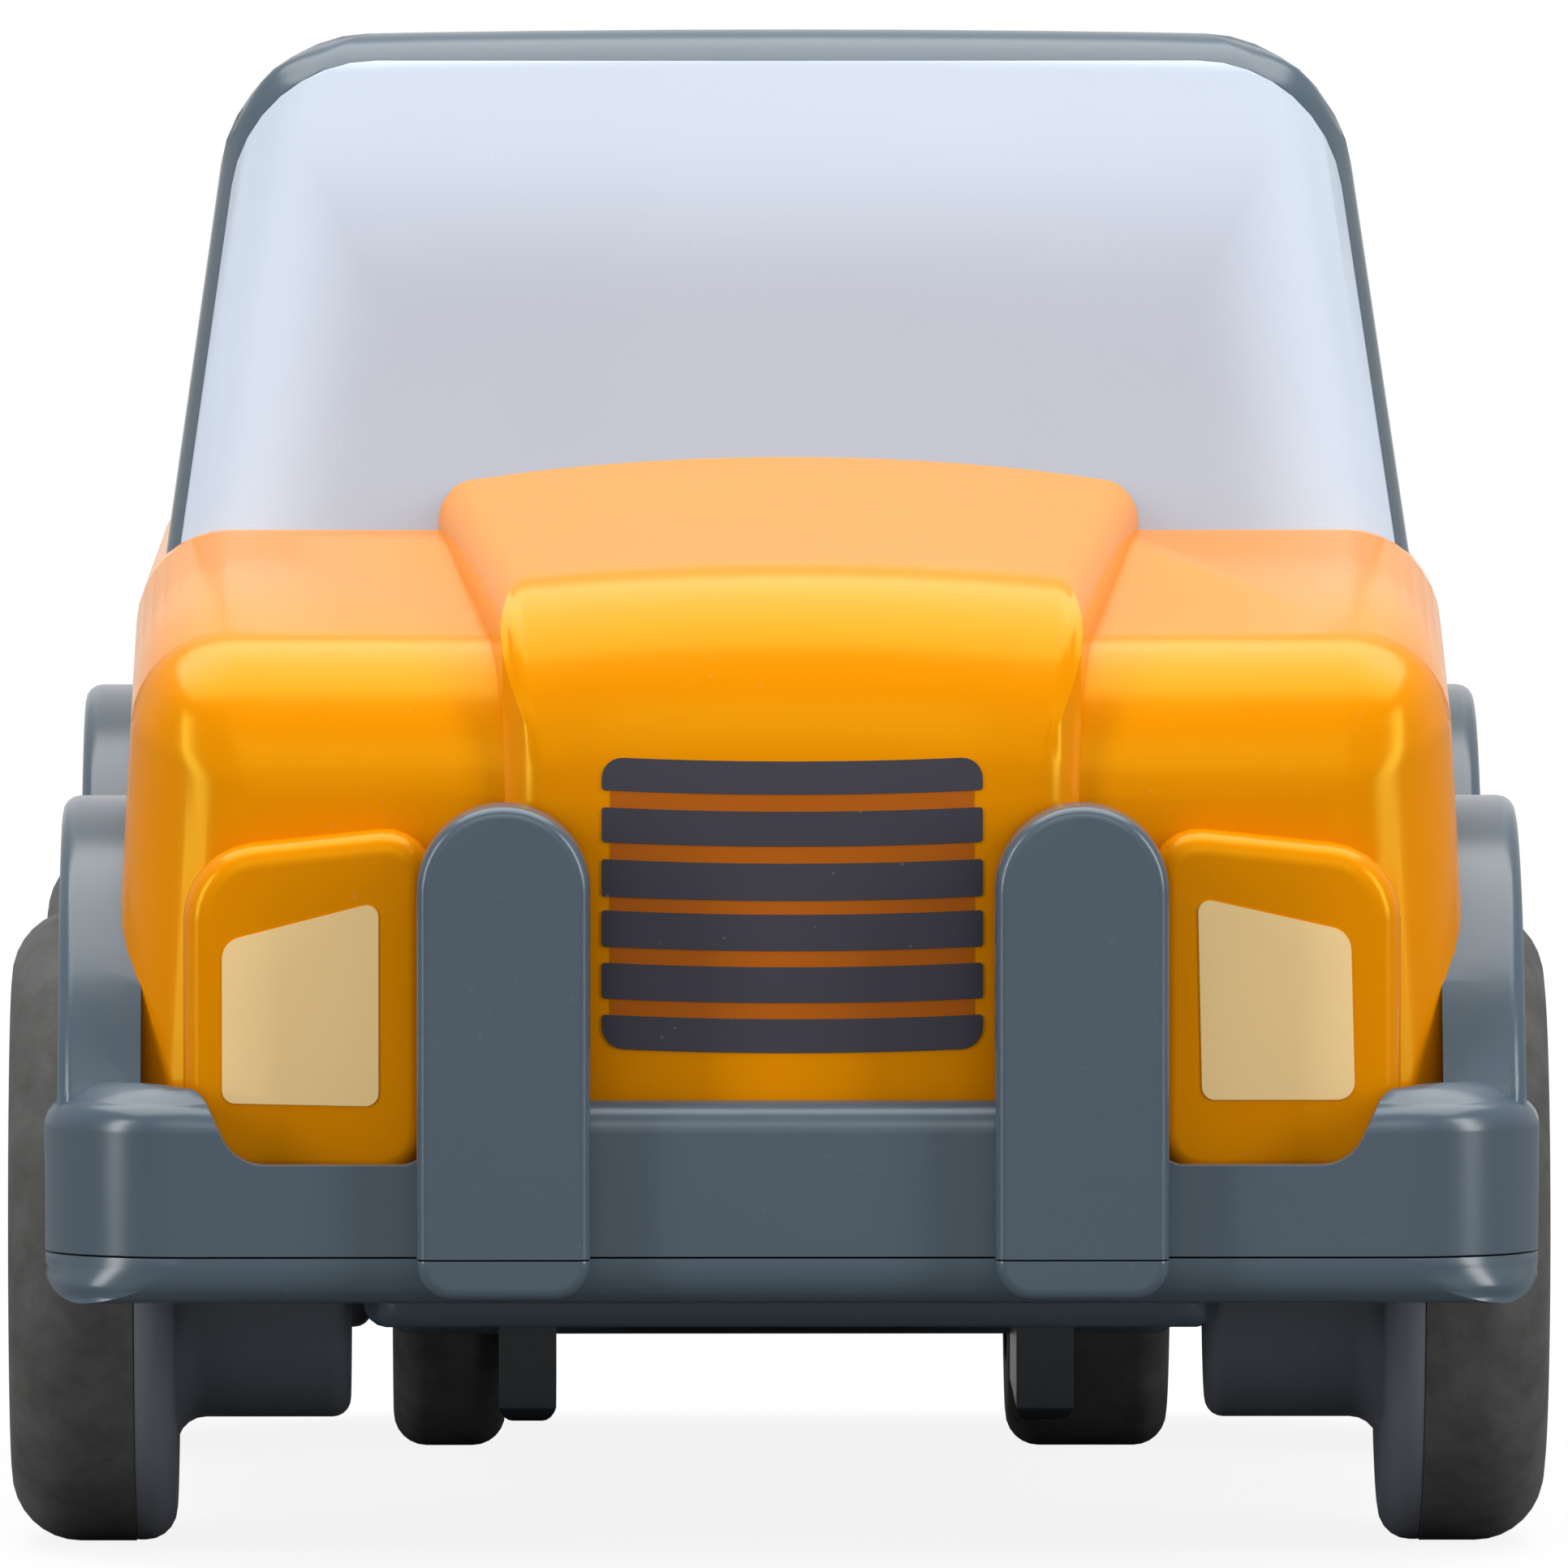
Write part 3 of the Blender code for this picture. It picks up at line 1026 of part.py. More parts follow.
def build_drive_wheels(grey, rubber):
    for side, width, word in drive_wheels():
        low = DRIVE_WHEEL_OUTER_X - width
        high = DRIVE_WHEEL_OUTER_X
        bore = AXLE_RADIUS + RUNNING_FIT
        web = 1.0 * MM
        core = [(low + web, bore), (high - web, bore), (high - 0.2 * MM, DRIVE_CORE_RADIUS - web),
                (high - 0.2 * MM, DRIVE_CORE_RADIUS), (low + 0.2 * MM, DRIVE_CORE_RADIUS),
                (low + 0.2 * MM, DRIVE_CORE_RADIUS - web)]
        tyre = tyre_profile(low, high, DRIVE_CORE_RADIUS + RUNNING_FIT, WHEEL_RADIUS, DRIVE_TYRE_EDGE,
                            DRIVE_TYRE_EDGE)
        for name, profile, material in (("drive_wheel_", core, grey), ("drive_tyre_", tyre, rubber)):
            piece = place(name + word, turn_about_x(name + word, profile, WHEEL_FACETS), material, REAR_AXLE, 35)
            if side < 0:
                piece.rotation_euler = (0.0, 0.0, math.pi)


def turn_about_z(name, profile, facets):
    """Revolve an open (radius, z) profile that starts and ends on the Z axis."""
    points = []
    rows = []
    for radius, z in profile:
        row = []
        for step in range(facets if radius else 1):
            angle = 2 * math.pi * step / facets
            row.append(len(points))
            points.append((radius * math.cos(angle), radius * math.sin(angle), z))
        rows.append(row)
    faces = []
    for low, high in zip(rows, rows[1:]):
        for i in range(facets):
            j = (i + 1) % facets
            corners = [low[i % len(low)], low[j % len(low)], high[j % len(high)], high[i % len(high)]]
            faces.append(list(dict.fromkeys(corners)))
    return mesh_from(name, points, faces)


def screw_mesh(name):
    """A pan-head screw that points up, its seat at zero height."""
    head = SCREW_HEAD_RADIUS
    edge = 0.3 * MM
    profile = [(0.0, -SCREW_HEAD_HEIGHT), (head - edge, -SCREW_HEAD_HEIGHT), (head, edge - SCREW_HEAD_HEIGHT),
               (head, -RUNNING_FIT), (SCREW_RADIUS, -RUNNING_FIT), (SCREW_RADIUS, SCREW_LENGTH - SCREW_RADIUS),
               (0.0, SCREW_LENGTH)]
    return turn_about_z(name, profile, SMALL_FACETS)


def build_screws(steel):
    for word, (x, y) in zip(("left", "right", "nose"), screw_places()):
        name = "body_screw_" + word
        place(name, screw_mesh(name), steel, (x, y, SCREW_SEAT_Z), 35)


def build_car():
    clear_scene()
    orange = make_material("orange_body", (0.91, 0.26, 0.0), 0.28)
    slate = make_material("slate_trim", (0.078, 0.107, 0.136), 0.3)
    pane = make_material("window_pane", (0.6, 0.64, 0.74), 0.2)
    dark = make_material("dark_motor_case", (0.03, 0.032, 0.036), 0.45)
    grey = make_material("grey_wheel", (0.055, 0.06, 0.072), 0.4)
    rubber = make_material("tyre_rubber", (0.042, 0.042, 0.04), 0.85)
    white = make_material("gear_white", (0.78, 0.77, 0.72), 0.4)
    steel = make_material("bright_steel", (0.6, 0.6, 0.6), 0.3, 1.0)
    brass = make_material("brass", (0.72, 0.5, 0.22), 0.3, 1.0)
    bronze = make_material("bush_bronze", (0.5, 0.33, 0.18), 0.4, 1.0)

    body = build_body(orange)
    build_body_bosses(body)
    build_cabin(slate, pane)
    build_bumper_frame(slate)
    build_base_pan(slate)
    build_axle_retainer(dark)
    build_axle_set("front", FRONT_AXLE, WHEEL_INNER_X, WHEEL_RADIUS, -FRONT_AXLE_SIDE_PLAY, grey, rubber, steel)
    build_axle_set("rear", REAR_AXLE, REAR_WHEEL_INNER_X, REAR_WHEEL_RADIUS, 0.0, grey, rubber, steel)
    build_drive_wheels(grey, rubber)
    build_gearbox(dark, bronze)
    build_motor(brass, white, steel)
    build_screws(steel)


build_car()
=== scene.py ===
# Looks of the toy off-road car: moulded shells, tyres, prints, finishes, light and camera.

import json
import math

import bmesh
import bpy
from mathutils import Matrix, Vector


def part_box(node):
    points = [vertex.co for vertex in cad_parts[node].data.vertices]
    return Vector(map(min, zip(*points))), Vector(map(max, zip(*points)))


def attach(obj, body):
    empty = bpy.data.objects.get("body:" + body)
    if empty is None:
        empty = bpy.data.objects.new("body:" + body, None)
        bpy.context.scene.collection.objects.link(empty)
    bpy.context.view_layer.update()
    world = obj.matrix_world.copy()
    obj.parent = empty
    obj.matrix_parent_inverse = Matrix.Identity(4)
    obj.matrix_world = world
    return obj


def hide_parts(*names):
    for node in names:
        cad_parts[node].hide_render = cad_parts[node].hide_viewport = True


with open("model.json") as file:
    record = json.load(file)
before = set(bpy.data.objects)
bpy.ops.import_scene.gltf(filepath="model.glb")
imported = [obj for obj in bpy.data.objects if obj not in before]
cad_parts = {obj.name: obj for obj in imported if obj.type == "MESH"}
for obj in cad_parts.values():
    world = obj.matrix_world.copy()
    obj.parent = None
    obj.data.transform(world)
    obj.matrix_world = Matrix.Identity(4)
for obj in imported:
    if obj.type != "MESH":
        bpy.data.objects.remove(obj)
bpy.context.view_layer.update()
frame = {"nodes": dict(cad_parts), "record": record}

# Sizes in millimetres, in the same frame as the part

MM = 0.001
ROUND_FACETS = 96
AXLE_Z = 11.1
FRONT_AXLE_Y = -24.0
REAR_AXLE_Y = 25.0
REAR_ARCH_Z = 12.7
FRONT_ARCH = 13.2
REAR_ARCH = 13.4
SIDES = ((-1, "left"), (1, "right"))
ENDS = (("front", FRONT_AXLE_Y, AXLE_Z, FRONT_ARCH), ("rear", REAR_AXLE_Y, REAR_ARCH_Z, REAR_ARCH))
ARCH_INSET = 1.5
HUB_WELL_RADIUS = 7.55
AXLE_HOLE_RADIUS = 1.05

BODY_HALF_WIDTH = 24
BODY_FRONT_Y = -38
BODY_REAR_Y = 40
BODY_BOTTOM_Z = 11.3
BODY_TOP_Z = 35.4
BODY_TAPER = 0.95
FENDER_BREAK_Y = -21.2
FENDER_FALL = 4.1
DOOR_LINES = (-9.2, 8.4)

BONNET_HALF_WIDTH = 12.6
NOSE_HALF_WIDTH = 9.9
NOSE_Y = -40
NOSE_BOW = 1.1
NOSE_FALL = 4.3
NOSE_LEVELS = (26.4, 26.9, 27.4, 27.9)
GRILLE_HALF_WIDTH = 6.6
GRILLE_STRIPES = ((28.26, 27.11), (26.52, 25.31), (24.72, 23.43),
                  (22.95, 21.69), (21.13, 19.89), (19.33, 18.16))

CABIN_HALF_WIDTH = 22.06
CABIN_FRONT_Y = -20.66
CABIN_REAR_Y = 37.66
CABIN_BASE_Z = 33.9
ROOF_Z = 52.6
CABIN_RISE = 18.25
CABIN_WALL = 1.4
SIDE_SLOPE = 0.14
SCREEN_RAKE = 0.577
ROOF_FALL = 1.15
SCREEN_TOP_Z = 51.75
SCREEN_HALF_WIDTH = 21.4
WINDOW_SILL_Z = 37.6
WINDOW_HEAD_Z = 47.6
WINDOW_ROUND = 1.6

BELT_HALF_WIDTH = 26
BELT_FRONT_Y = -41.4
BELT_REAR_Y = 43
BELT_CORNER = 5
LEDGE_Z = 16.4
SEAM_TOP_Z = 11.03
SEAM_BOTTOM_Z = 10.97
BAR_X = 10
BAR_HALF_WIDTH = 3
BAR_FRONT_Y = -43
BAR_TOP_Z = 26.7
FLARE_INNER_X = 22.6
FLARE_OUTER_X = 25.5
FLARE_WIDTH = 1.9

RIM_FLANGE = 1.4
RIM_SEAT_RADIUS = 8.6
TYRE_OUTER_X = 26.9
DRIVE_WHEEL_OUTER_X = 14.2
DRIVE_WHEEL_WIDTHS = {"left": 4.1, "right": 5.9}


# Modelling by hand

def take(piece):
    bpy.ops.object.select_all(action="DESELECT")
    piece.select_set(True)
    bpy.context.view_layer.objects.active = piece


def settle(name):
    """Name the new primitive and put its place into its mesh."""
    piece = bpy.context.object
    piece.name = name
    piece.data.name = name
    bpy.ops.object.transform_apply(location=True, rotation=True, scale=True)
    return piece


def block(name, low, high):
    bpy.ops.object.select_all(action="DESELECT")
    middle = [(a + b) / 2 * MM for a, b in zip(low, high)]
    size = [(b - a) * MM for a, b in zip(low, high)]
    bpy.ops.mesh.primitive_cube_add(size=1, location=middle, scale=size)
    return settle(name)


def rod(name, centre, radius, low, high, facets=ROUND_FACETS):
    """A round bar along X between two x values."""
    bpy.ops.object.select_all(action="DESELECT")
    place = ((low + high) / 2 * MM, centre[0] * MM, centre[1] * MM)
    bpy.ops.mesh.primitive_cylinder_add(vertices=facets, radius=radius * MM, depth=abs(high - low) * MM,
                                        location=place, rotation=(0, math.radians(90), 0))
    return settle(name)


def start_edit(piece):
    take(piece)
    bpy.ops.object.mode_set(mode="EDIT")
    bpy.context.tool_settings.mesh_select_mode = (True, False, False)
    bpy.ops.mesh.select_all(action="DESELECT")
    return bmesh.from_edit_mesh(piece.data)


def end_edit():
    bpy.ops.object.mode_set(mode="OBJECT")


def sides_of(side, near, far):
    """The two x values, low first, of a stretch on one side of the car."""
    return sorted((side * near, side * far))


def pick_points(piece, test):
    shape = start_edit(piece)
    for point in shape.verts:
        point.select = test(point.co / MM)
    shape.select_flush_mode()
    bmesh.update_edit_mesh(piece.data)


def shift(piece, test, offset):
    """Move the points that pass the test."""
    pick_points(piece, test)
    bpy.ops.transform.translate(value=[value * MM for value in offset])
    end_edit()


def widen(piece, test, factors):
    """Scale the points that pass the test about the frame's origin."""
    pick_points(piece, test)
    bpy.ops.transform.resize(value=factors, center_override=(0, 0, 0))
    end_edit()


def ring_cut(piece, axis, places):
    """Cut a flat loop round the piece at each place along an axis."""
    for place in places:
        start_edit(piece)
        bpy.ops.mesh.select_all(action="SELECT")
        bpy.ops.mesh.bisect(plane_co=[place * MM if i == axis else 0 for i in range(3)],
                            plane_no=[1 if i == axis else 0 for i in range(3)])
        end_edit()


def bulge(piece, test, lift):
    """Move each point that passes the test by what lift gives for its place."""
    shape = start_edit(piece)
    for point in shape.verts:
        if test(point.co / MM):
            point.co += Vector(lift(point.co / MM)) * MM
    bmesh.update_edit_mesh(piece.data)
    end_edit()


def round_edges(piece, radius_of, segments=6):
    """Round each edge by the radius that its middle and direction ask for."""
    mesh = piece.data
    radii = []
    for edge in mesh.edges:
        a, b = (mesh.vertices[i].co / MM for i in edge.vertices)
        radii.append(radius_of((a + b) / 2, (b - a).normalized()))
    widest = max(radii)
    old = mesh.attributes.get("bevel_weight_edge")
    if old:
        mesh.attributes.remove(old)
    weights = mesh.attributes.new("bevel_weight_edge", "FLOAT", "EDGE")
    for i, radius in enumerate(radii):
        weights.data[i].value = radius / widest
    take(piece)
    modifier = piece.modifiers.new("Round", "BEVEL")
    modifier.width = widest * MM
    modifier.segments = segments
    modifier.limit_method = "WEIGHT"
    modifier.use_clamp_overlap = False
    bpy.ops.object.modifier_apply(modifier=modifier.name)
    return piece


def soften(piece, width, segments=3, angle=35):
    """A small even bevel on every sharp edge."""
    take(piece)
    modifier = piece.modifiers.new("Soften", "BEVEL")
    modifier.width = width * MM
    modifier.segments = segments
    modifier.limit_method = "ANGLE"
    modifier.angle_limit = math.radians(angle)
    bpy.ops.object.modifier_apply(modifier=modifier.name)


def carve(piece, *tools, join=False, common=False):
    """Cut the tools out of a piece, join them to it, or keep only what they share."""
    for tool in tools:
        take(piece)
        modifier = piece.modifiers.new("Carve", "BOOLEAN")
        modifier.operation = "UNION" if join else "INTERSECT" if common else "DIFFERENCE"
        modifier.object = tool
        bpy.ops.object.modifier_apply(modifier=modifier.name)
        bpy.data.objects.remove(tool, do_unlink=True)


def clean(piece):
    """Merge what a cut left doubled and dissolve the needless edges of flat faces."""
    start_edit(piece)
    bpy.ops.mesh.select_all(action="SELECT")
    bpy.ops.mesh.remove_doubles(threshold=0.02 * MM)
    bpy.ops.mesh.dissolve_limited(angle_limit=math.radians(0.5))
    end_edit()


def twin(piece, name):
    other = piece.copy()
    other.data = piece.data.copy()
    other.name = name
    other.data.name = name
    bpy.context.scene.collection.objects.link(other)
    return other


def mirrored(piece, name):
    """A copy on the other side of the car."""
    other = twin(piece, name)
    take(other)
    other.scale.x = -1
    bpy.ops.object.transform_apply(location=False, rotation=False, scale=True)
    start_edit(other)
    bpy.ops.mesh.select_all(action="SELECT")
    bpy.ops.mesh.normals_make_consistent(inside=False)
    end_edit()
    return other


def softened(corners, steps=6):
    """Outline through (a, b, radius) corners, each with its own round."""
    outline = []
    for i, (a, b, radius) in enumerate(corners):
        corner = Vector((a, b))
        if not radius:
            outline.append((a, b))
            continue
        before = (Vector(corners[i - 1][:2]) - corner).normalized()
        after = (Vector(corners[(i + 1) % len(corners)][:2]) - corner).normalized()
        turn = before.angle(after) / 2
        centre = corner + (before + after).normalized() * radius / math.sin(turn)
        first = corner + before * radius / math.tan(turn) - centre
        last = corner + after * radius / math.tan(turn) - centre
        sweep = first.angle_signed(last)
        for step in range(steps + 1):
            angle = -sweep * step / steps
            cos, sin = math.cos(angle), math.sin(angle)
            outline.append((centre.x + first.x * cos - first.y * sin,
                            centre.y + first.x * sin + first.y * cos))
    return outline


def slab(name, outline, axis, low, high):
    """A flat outline pulled out along an axis, from a disc whose rim is put on the outline."""
    bpy.ops.object.select_all(action="DESELECT")
    bpy.ops.mesh.primitive_circle_add(vertices=len(outline), fill_type="NGON")
    piece = settle(name)
    order = {"X": (2, 0, 1), "Y": (0, 2, 1), "Z": (0, 1, 2)}[axis]
    shape = start_edit(piece)
    rim = sorted(shape.verts, key=lambda point: math.atan2(point.co.y, point.co.x))
    for point, (a, b) in zip(rim, outline):
        values = (a, b, low)
        point.co = Vector([values[order[i]] for i in range(3)]) * MM
    bmesh.update_edit_mesh(piece.data)
    bpy.ops.mesh.select_all(action="SELECT")
    pull = [high - low if order[i] == 2 else 0.0 for i in range(3)]
    bpy.ops.mesh.extrude_region_move(TRANSFORM_OT_translate={"value": [value * MM for value in pull]})
    bpy.ops.mesh.select_all(action="SELECT")
    bpy.ops.mesh.normals_make_consistent(inside=False)
    end_edit()
    return piece


def turned(name, profile, centre):
    """A lathe piece about an axle: one point pulled along the profile, then spun."""
    bpy.ops.object.select_all(action="DESELECT")
    bpy.ops.mesh.primitive_plane_add(size=MM)
    piece = settle(name)
    start_edit(piece)
    bpy.ops.mesh.select_all(action="SELECT")
    bpy.ops.mesh.merge(type="CENTER")
    start = Vector((profile[0][0], centre[0], centre[1] + profile[0][1])) * MM
    shape = bmesh.from_edit_mesh(piece.data)
    shape.verts.ensure_lookup_table()
    shape.verts[0].co = start
    bmesh.update_edit_mesh(piece.data)
    for (ax, ar), (bx, br) in zip(profile, profile[1:] + profile[:1]):
        step = ((bx - ax) * MM, 0, (br - ar) * MM)
        bpy.ops.mesh.extrude_region_move(TRANSFORM_OT_translate={"value": step})
    bpy.ops.mesh.select_all(action="SELECT")
    bpy.ops.mesh.remove_doubles(threshold=0.002 * MM)
    bpy.ops.mesh.select_all(action="SELECT")
    bpy.ops.mesh.spin(steps=ROUND_FACETS, angle=2 * math.pi, axis=(1, 0, 0),
                      center=(0, centre[0] * MM, centre[1] * MM))
    bpy.ops.mesh.select_all(action="SELECT")
    bpy.ops.mesh.remove_doubles(threshold=0.002 * MM)
    bpy.ops.mesh.normals_make_consistent(inside=False)
    end_edit()
    return piece


def finish_piece(piece, material, body, slot, *nodes, smooth=35):
    """Give a piece its finish and shading and its place on a body, and hide the CAD nodes it stands in for.
    """
    take(piece)
    piece.data.materials.clear()
    piece.data.materials.append(material)
    bpy.ops.object.shade_smooth_by_angle(angle=math.radians(smooth))
    modifier = piece.modifiers.new("Even shading", "WEIGHTED_NORMAL")
    modifier.keep_sharp = True
    bpy.ops.object.modifier_apply(modifier=modifier.name)
    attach(piece, body)
    if nodes:
        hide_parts(*nodes)


# Finishes

def socket(group, name, kind, way, value=None):
    made = group.interface.new_socket(name=name, in_out=way, socket_type=kind)
    if value is not None:
        made.default_value = value


def noise_texture(nodes, scale, detail):
    noise = nodes.new("ShaderNodeTexNoise")
    noise.inputs["Scale"].default_value = scale
    noise.inputs["Detail"].default_value = detail
    return noise


def map_range(nodes, from_values=(0, 1), to_values=(0, 1), ease="LINEAR"):
    ranged = nodes.new("ShaderNodeMapRange")
    ranged.interpolation_type = ease
    ranged.inputs["From Min"].default_value, ranged.inputs["From Max"].default_value = from_values
    ranged.inputs["To Min"].default_value, ranged.inputs["To Max"].default_value = to_values
    return ranged


def maths(nodes, operation):
    step = nodes.new("ShaderNodeMath")
    step.operation = operation
    return step


def colour_mix(nodes, first=None, second=None):
    mix = nodes.new("ShaderNodeMix")
    mix.data_type = "RGBA"
    if first:
        mix.inputs["A"].default_value = (*first, 1)
    if second:
        mix.inputs["B"].default_value = (*second, 1)
    return mix


def moulded_skin_group():
    """Faint colour drift, uneven gloss and fine ripple of a moulded plastic surface."""
    group = bpy.data.node_groups.new("moulded_skin", "ShaderNodeTree")
    socket(group, "Colour", "NodeSocketColor", "INPUT", (0.5, 0.5, 0.5, 1))
    socket(group, "Drift", "NodeSocketFloat", "INPUT", 0.05)
    socket(group, "Gloss", "NodeSocketFloat", "INPUT", 0.25)
    socket(group, "Speck", "NodeSocketFloat", "INPUT", 0.1)
    socket(group, "Colour", "NodeSocketColor", "OUTPUT")
    socket(group, "Roughness", "NodeSocketFloat", "OUTPUT")
    socket(group, "Ripple", "NodeSocketFloat", "OUTPUT")
    nodes = group.nodes
    link = group.links.new
    inside = nodes.new("NodeGroupInput")
    outside = nodes.new("NodeGroupOutput")
    where = nodes.new("ShaderNodeTexCoord")
    broad = noise_texture(nodes, 90, 2)
    fine = noise_texture(nodes, 1600, 3)
    dust = noise_texture(nodes, 3200, 0)
    for noise in (broad, fine, dust):
        link(where.outputs["Object"], noise.inputs["Vector"])
    spread = map_range(nodes, (0.3, 0.7), (-1, 1))
    link(broad.outputs["Fac"], spread.inputs["Value"])
    drift = maths(nodes, "MULTIPLY_ADD")
    drift.inputs[2].default_value = 1
    link(spread.outputs["Result"], drift.inputs[0])
    link(inside.outputs["Drift"], drift.inputs[1])
    tone = nodes.new("ShaderNodeVectorMath")
    tone.operation = "SCALE"
    link(inside.outputs["Colour"], tone.inputs[0])
    link(drift.outputs[0], tone.inputs["Scale"])
    speck = map_range(nodes, (0.84, 0.88))
    link(dust.outputs["Fac"], speck.inputs["Value"])
    amount = maths(nodes, "MULTIPLY")
    link(speck.outputs["Result"], amount.inputs[0])
    link(inside.outputs["Speck"], amount.inputs[1])
    mix = colour_mix(nodes, second=(0.75, 0.74, 0.72))
    link(amount.outputs[0], mix.inputs["Factor"])
    link(tone.outputs["Vector"], mix.inputs["A"])
    link(mix.outputs["Result"], outside.inputs["Colour"])
    gloss = maths(nodes, "MULTIPLY_ADD")
    gloss.inputs[1].default_value = 0.06
    link(fine.outputs["Fac"], gloss.inputs[0])
    link(inside.outputs["Gloss"], gloss.inputs[2])
    link(gloss.outputs[0], outside.inputs["Roughness"])
    link(fine.outputs["Fac"], outside.inputs["Ripple"])
    return group


SKIN = moulded_skin_group()


def shader_of(name):
    material = bpy.data.materials.new(name)
    material.use_nodes = True
    return material, material.node_tree.nodes, material.node_tree.links.new


def moulded_plastic(name, colour, gloss, drift=0.04, speck=0.1, ripple=0.03, tint=None, specular=0.5):
    """Moulded plastic, whose gloss is a roughness and whose tint colours its highlights."""
    material, nodes, link = shader_of(name)
    shader = nodes["Principled BSDF"]
    skin = nodes.new("ShaderNodeGroup")
    skin.node_tree = SKIN
    skin.inputs["Colour"].default_value = (*colour, 1)
    skin.inputs["Drift"].default_value = drift
    skin.inputs["Gloss"].default_value = gloss
    skin.inputs["Speck"].default_value = speck
    link(skin.outputs["Colour"], shader.inputs["Base Color"])
    link(skin.outputs["Roughness"], shader.inputs["Roughness"])
    bump = nodes.new("ShaderNodeBump")
    bump.inputs["Strength"].default_value = ripple
    bump.inputs["Distance"].default_value = 0.0001
    link(skin.outputs["Ripple"], bump.inputs["Height"])
    link(bump.outputs["Normal"], shader.inputs["Normal"])
    shader.inputs["Specular IOR Level"].default_value = specular
    if tint:
        shader.inputs["Specular Tint"].default_value = (*tint, 1)
    material.diffuse_color = (*colour, 1)
    return material


def tread_rubber():
    """Matte rubber, worn in pale and dark blotches."""
    material, nodes, link = shader_of("tread_rubber")
    shader = nodes["Principled BSDF"]
    where = nodes.new("ShaderNodeTexCoord")
    blotch = noise_texture(nodes, 420, 4)
    blotch.inputs["Roughness"].default_value = 0.7
    link(where.outputs["Object"], blotch.inputs["Vector"])
    ramp = nodes.new("ShaderNodeValToRGB")
    ramp.color_ramp.elements[0].position = 0.3
    ramp.color_ramp.elements[0].color = (0.05, 0.05, 0.048, 1)
    ramp.color_ramp.elements[1].position = 0.72
    ramp.color_ramp.elements[1].color = (0.1, 0.101, 0.098, 1)
    link(blotch.outputs["Fac"], ramp.inputs["Fac"])
    link(ramp.outputs["Color"], shader.inputs["Base Color"])
    bump = nodes.new("ShaderNodeBump")
    bump.inputs["Strength"].default_value = 0.35
    bump.inputs["Distance"].default_value = 0.0001
    link(blotch.outputs["Fac"], bump.inputs["Height"])
    link(bump.outputs["Normal"], shader.inputs["Normal"])
    shader.inputs["Roughness"].default_value = 0.62
    shader.inputs["Specular IOR Level"].default_value = 0.35
    return material


def turned_metal(name, colour, roughness):
    """Metal with the fine rings that a lathe leaves round the X axis."""
    material, nodes, link = shader_of(name)
    shader = nodes["Principled BSDF"]
    where = nodes.new("ShaderNodeTexCoord")
    squeeze = nodes.new("ShaderNodeMapping")
    squeeze.inputs["Scale"].default_value = (9000, 300, 300)
    link(where.outputs["Object"], squeeze.inputs["Vector"])
    rings = noise_texture(nodes, 1, 2)
    link(squeeze.outputs["Vector"], rings.inputs["Vector"])
    uneven = map_range(nodes, to_values=(roughness * 0.7, roughness * 1.4))
    link(rings.outputs["Fac"], uneven.inputs["Value"])
    link(uneven.outputs["Result"], shader.inputs["Roughness"])
    tone = colour_mix(nodes, [value * 0.85 for value in colour], colour)
    link(rings.outputs["Fac"], tone.inputs["Factor"])
    link(tone.outputs["Result"], shader.inputs["Base Color"])
    shader.inputs["Metallic"].default_value = 1
    return material


def window_pane():
    """Pale pane plastic with a painted highlight: lighter and bluer towards the roof and the pillars."""
    material = moulded_plastic("window_pane", (0.56, 0.6, 0.71), 0.2, drift=0.015, speck=0.05, ripple=0.01)
    nodes = material.node_tree.nodes
    link = material.node_tree.links.new
    skin = next(node for node in nodes if node.type == "GROUP")
    where = nodes.new("ShaderNodeTexCoord")
    split = nodes.new("ShaderNodeSeparateXYZ")
    link(where.outputs["Object"], split.inputs["Vector"])
    reach = maths(nodes, "ABSOLUTE")
    link(split.outputs["X"], reach.inputs[0])
    lean = maths(nodes, "MULTIPLY_ADD")
    lean.inputs[1].default_value = SIDE_SLOPE
    link(split.outputs["Z"], lean.inputs[0])
    link(reach.outputs[0], lean.inputs[2])
    # Painted highlight: the pane is painted lighter and bluer near the pillars and the roof edge.
    pillar_highlight = map_range(nodes, (19.5 * MM, 25.6 * MM), ease="SMOOTHERSTEP")
    link(lean.outputs[0], pillar_highlight.inputs["Value"])
    roof_highlight = map_range(nodes, (42 * MM, 51 * MM), ease="SMOOTHERSTEP")
    link(split.outputs["Z"], roof_highlight.inputs["Value"])
    edge = maths(nodes, "MAXIMUM")
    link(pillar_highlight.outputs["Result"], edge.inputs[0])
    link(roof_highlight.outputs["Result"], edge.inputs[1])
    tone = colour_mix(nodes, (0.39, 0.42, 0.49), (0.52, 0.585, 0.68))
    link(edge.outputs[0], tone.inputs["Factor"])
    link(tone.outputs["Result"], skin.inputs["Colour"])
    return material


ORANGE = moulded_plastic("orange_body", (0.75, 0.245, 0.0), 0.2, drift=0.02, speck=0.02,
                         tint=(1.0, 0.92, 0.05), specular=0.45)
SLATE = moulded_plastic("slate_trim", (0.065, 0.097, 0.128), 0.22, drift=0.03, speck=0.02)
# Pale panes with a painted highlight towards the roof and the pillars.
PANE = window_pane()
HUB = moulded_plastic("wheel_plastic", (0.165, 0.18, 0.22), 0.34, drift=0.06, speck=0.08)
RUBBER = tread_rubber()
LAMP_PRINT = moulded_plastic("lamp_print", (0.95, 0.67, 0.3), 0.4, drift=0.02, speck=0.12)
GRILLE_PRINT = moulded_plastic("grille_print", (0.03, 0.028, 0.042), 0.35, drift=0.04, speck=0.08)
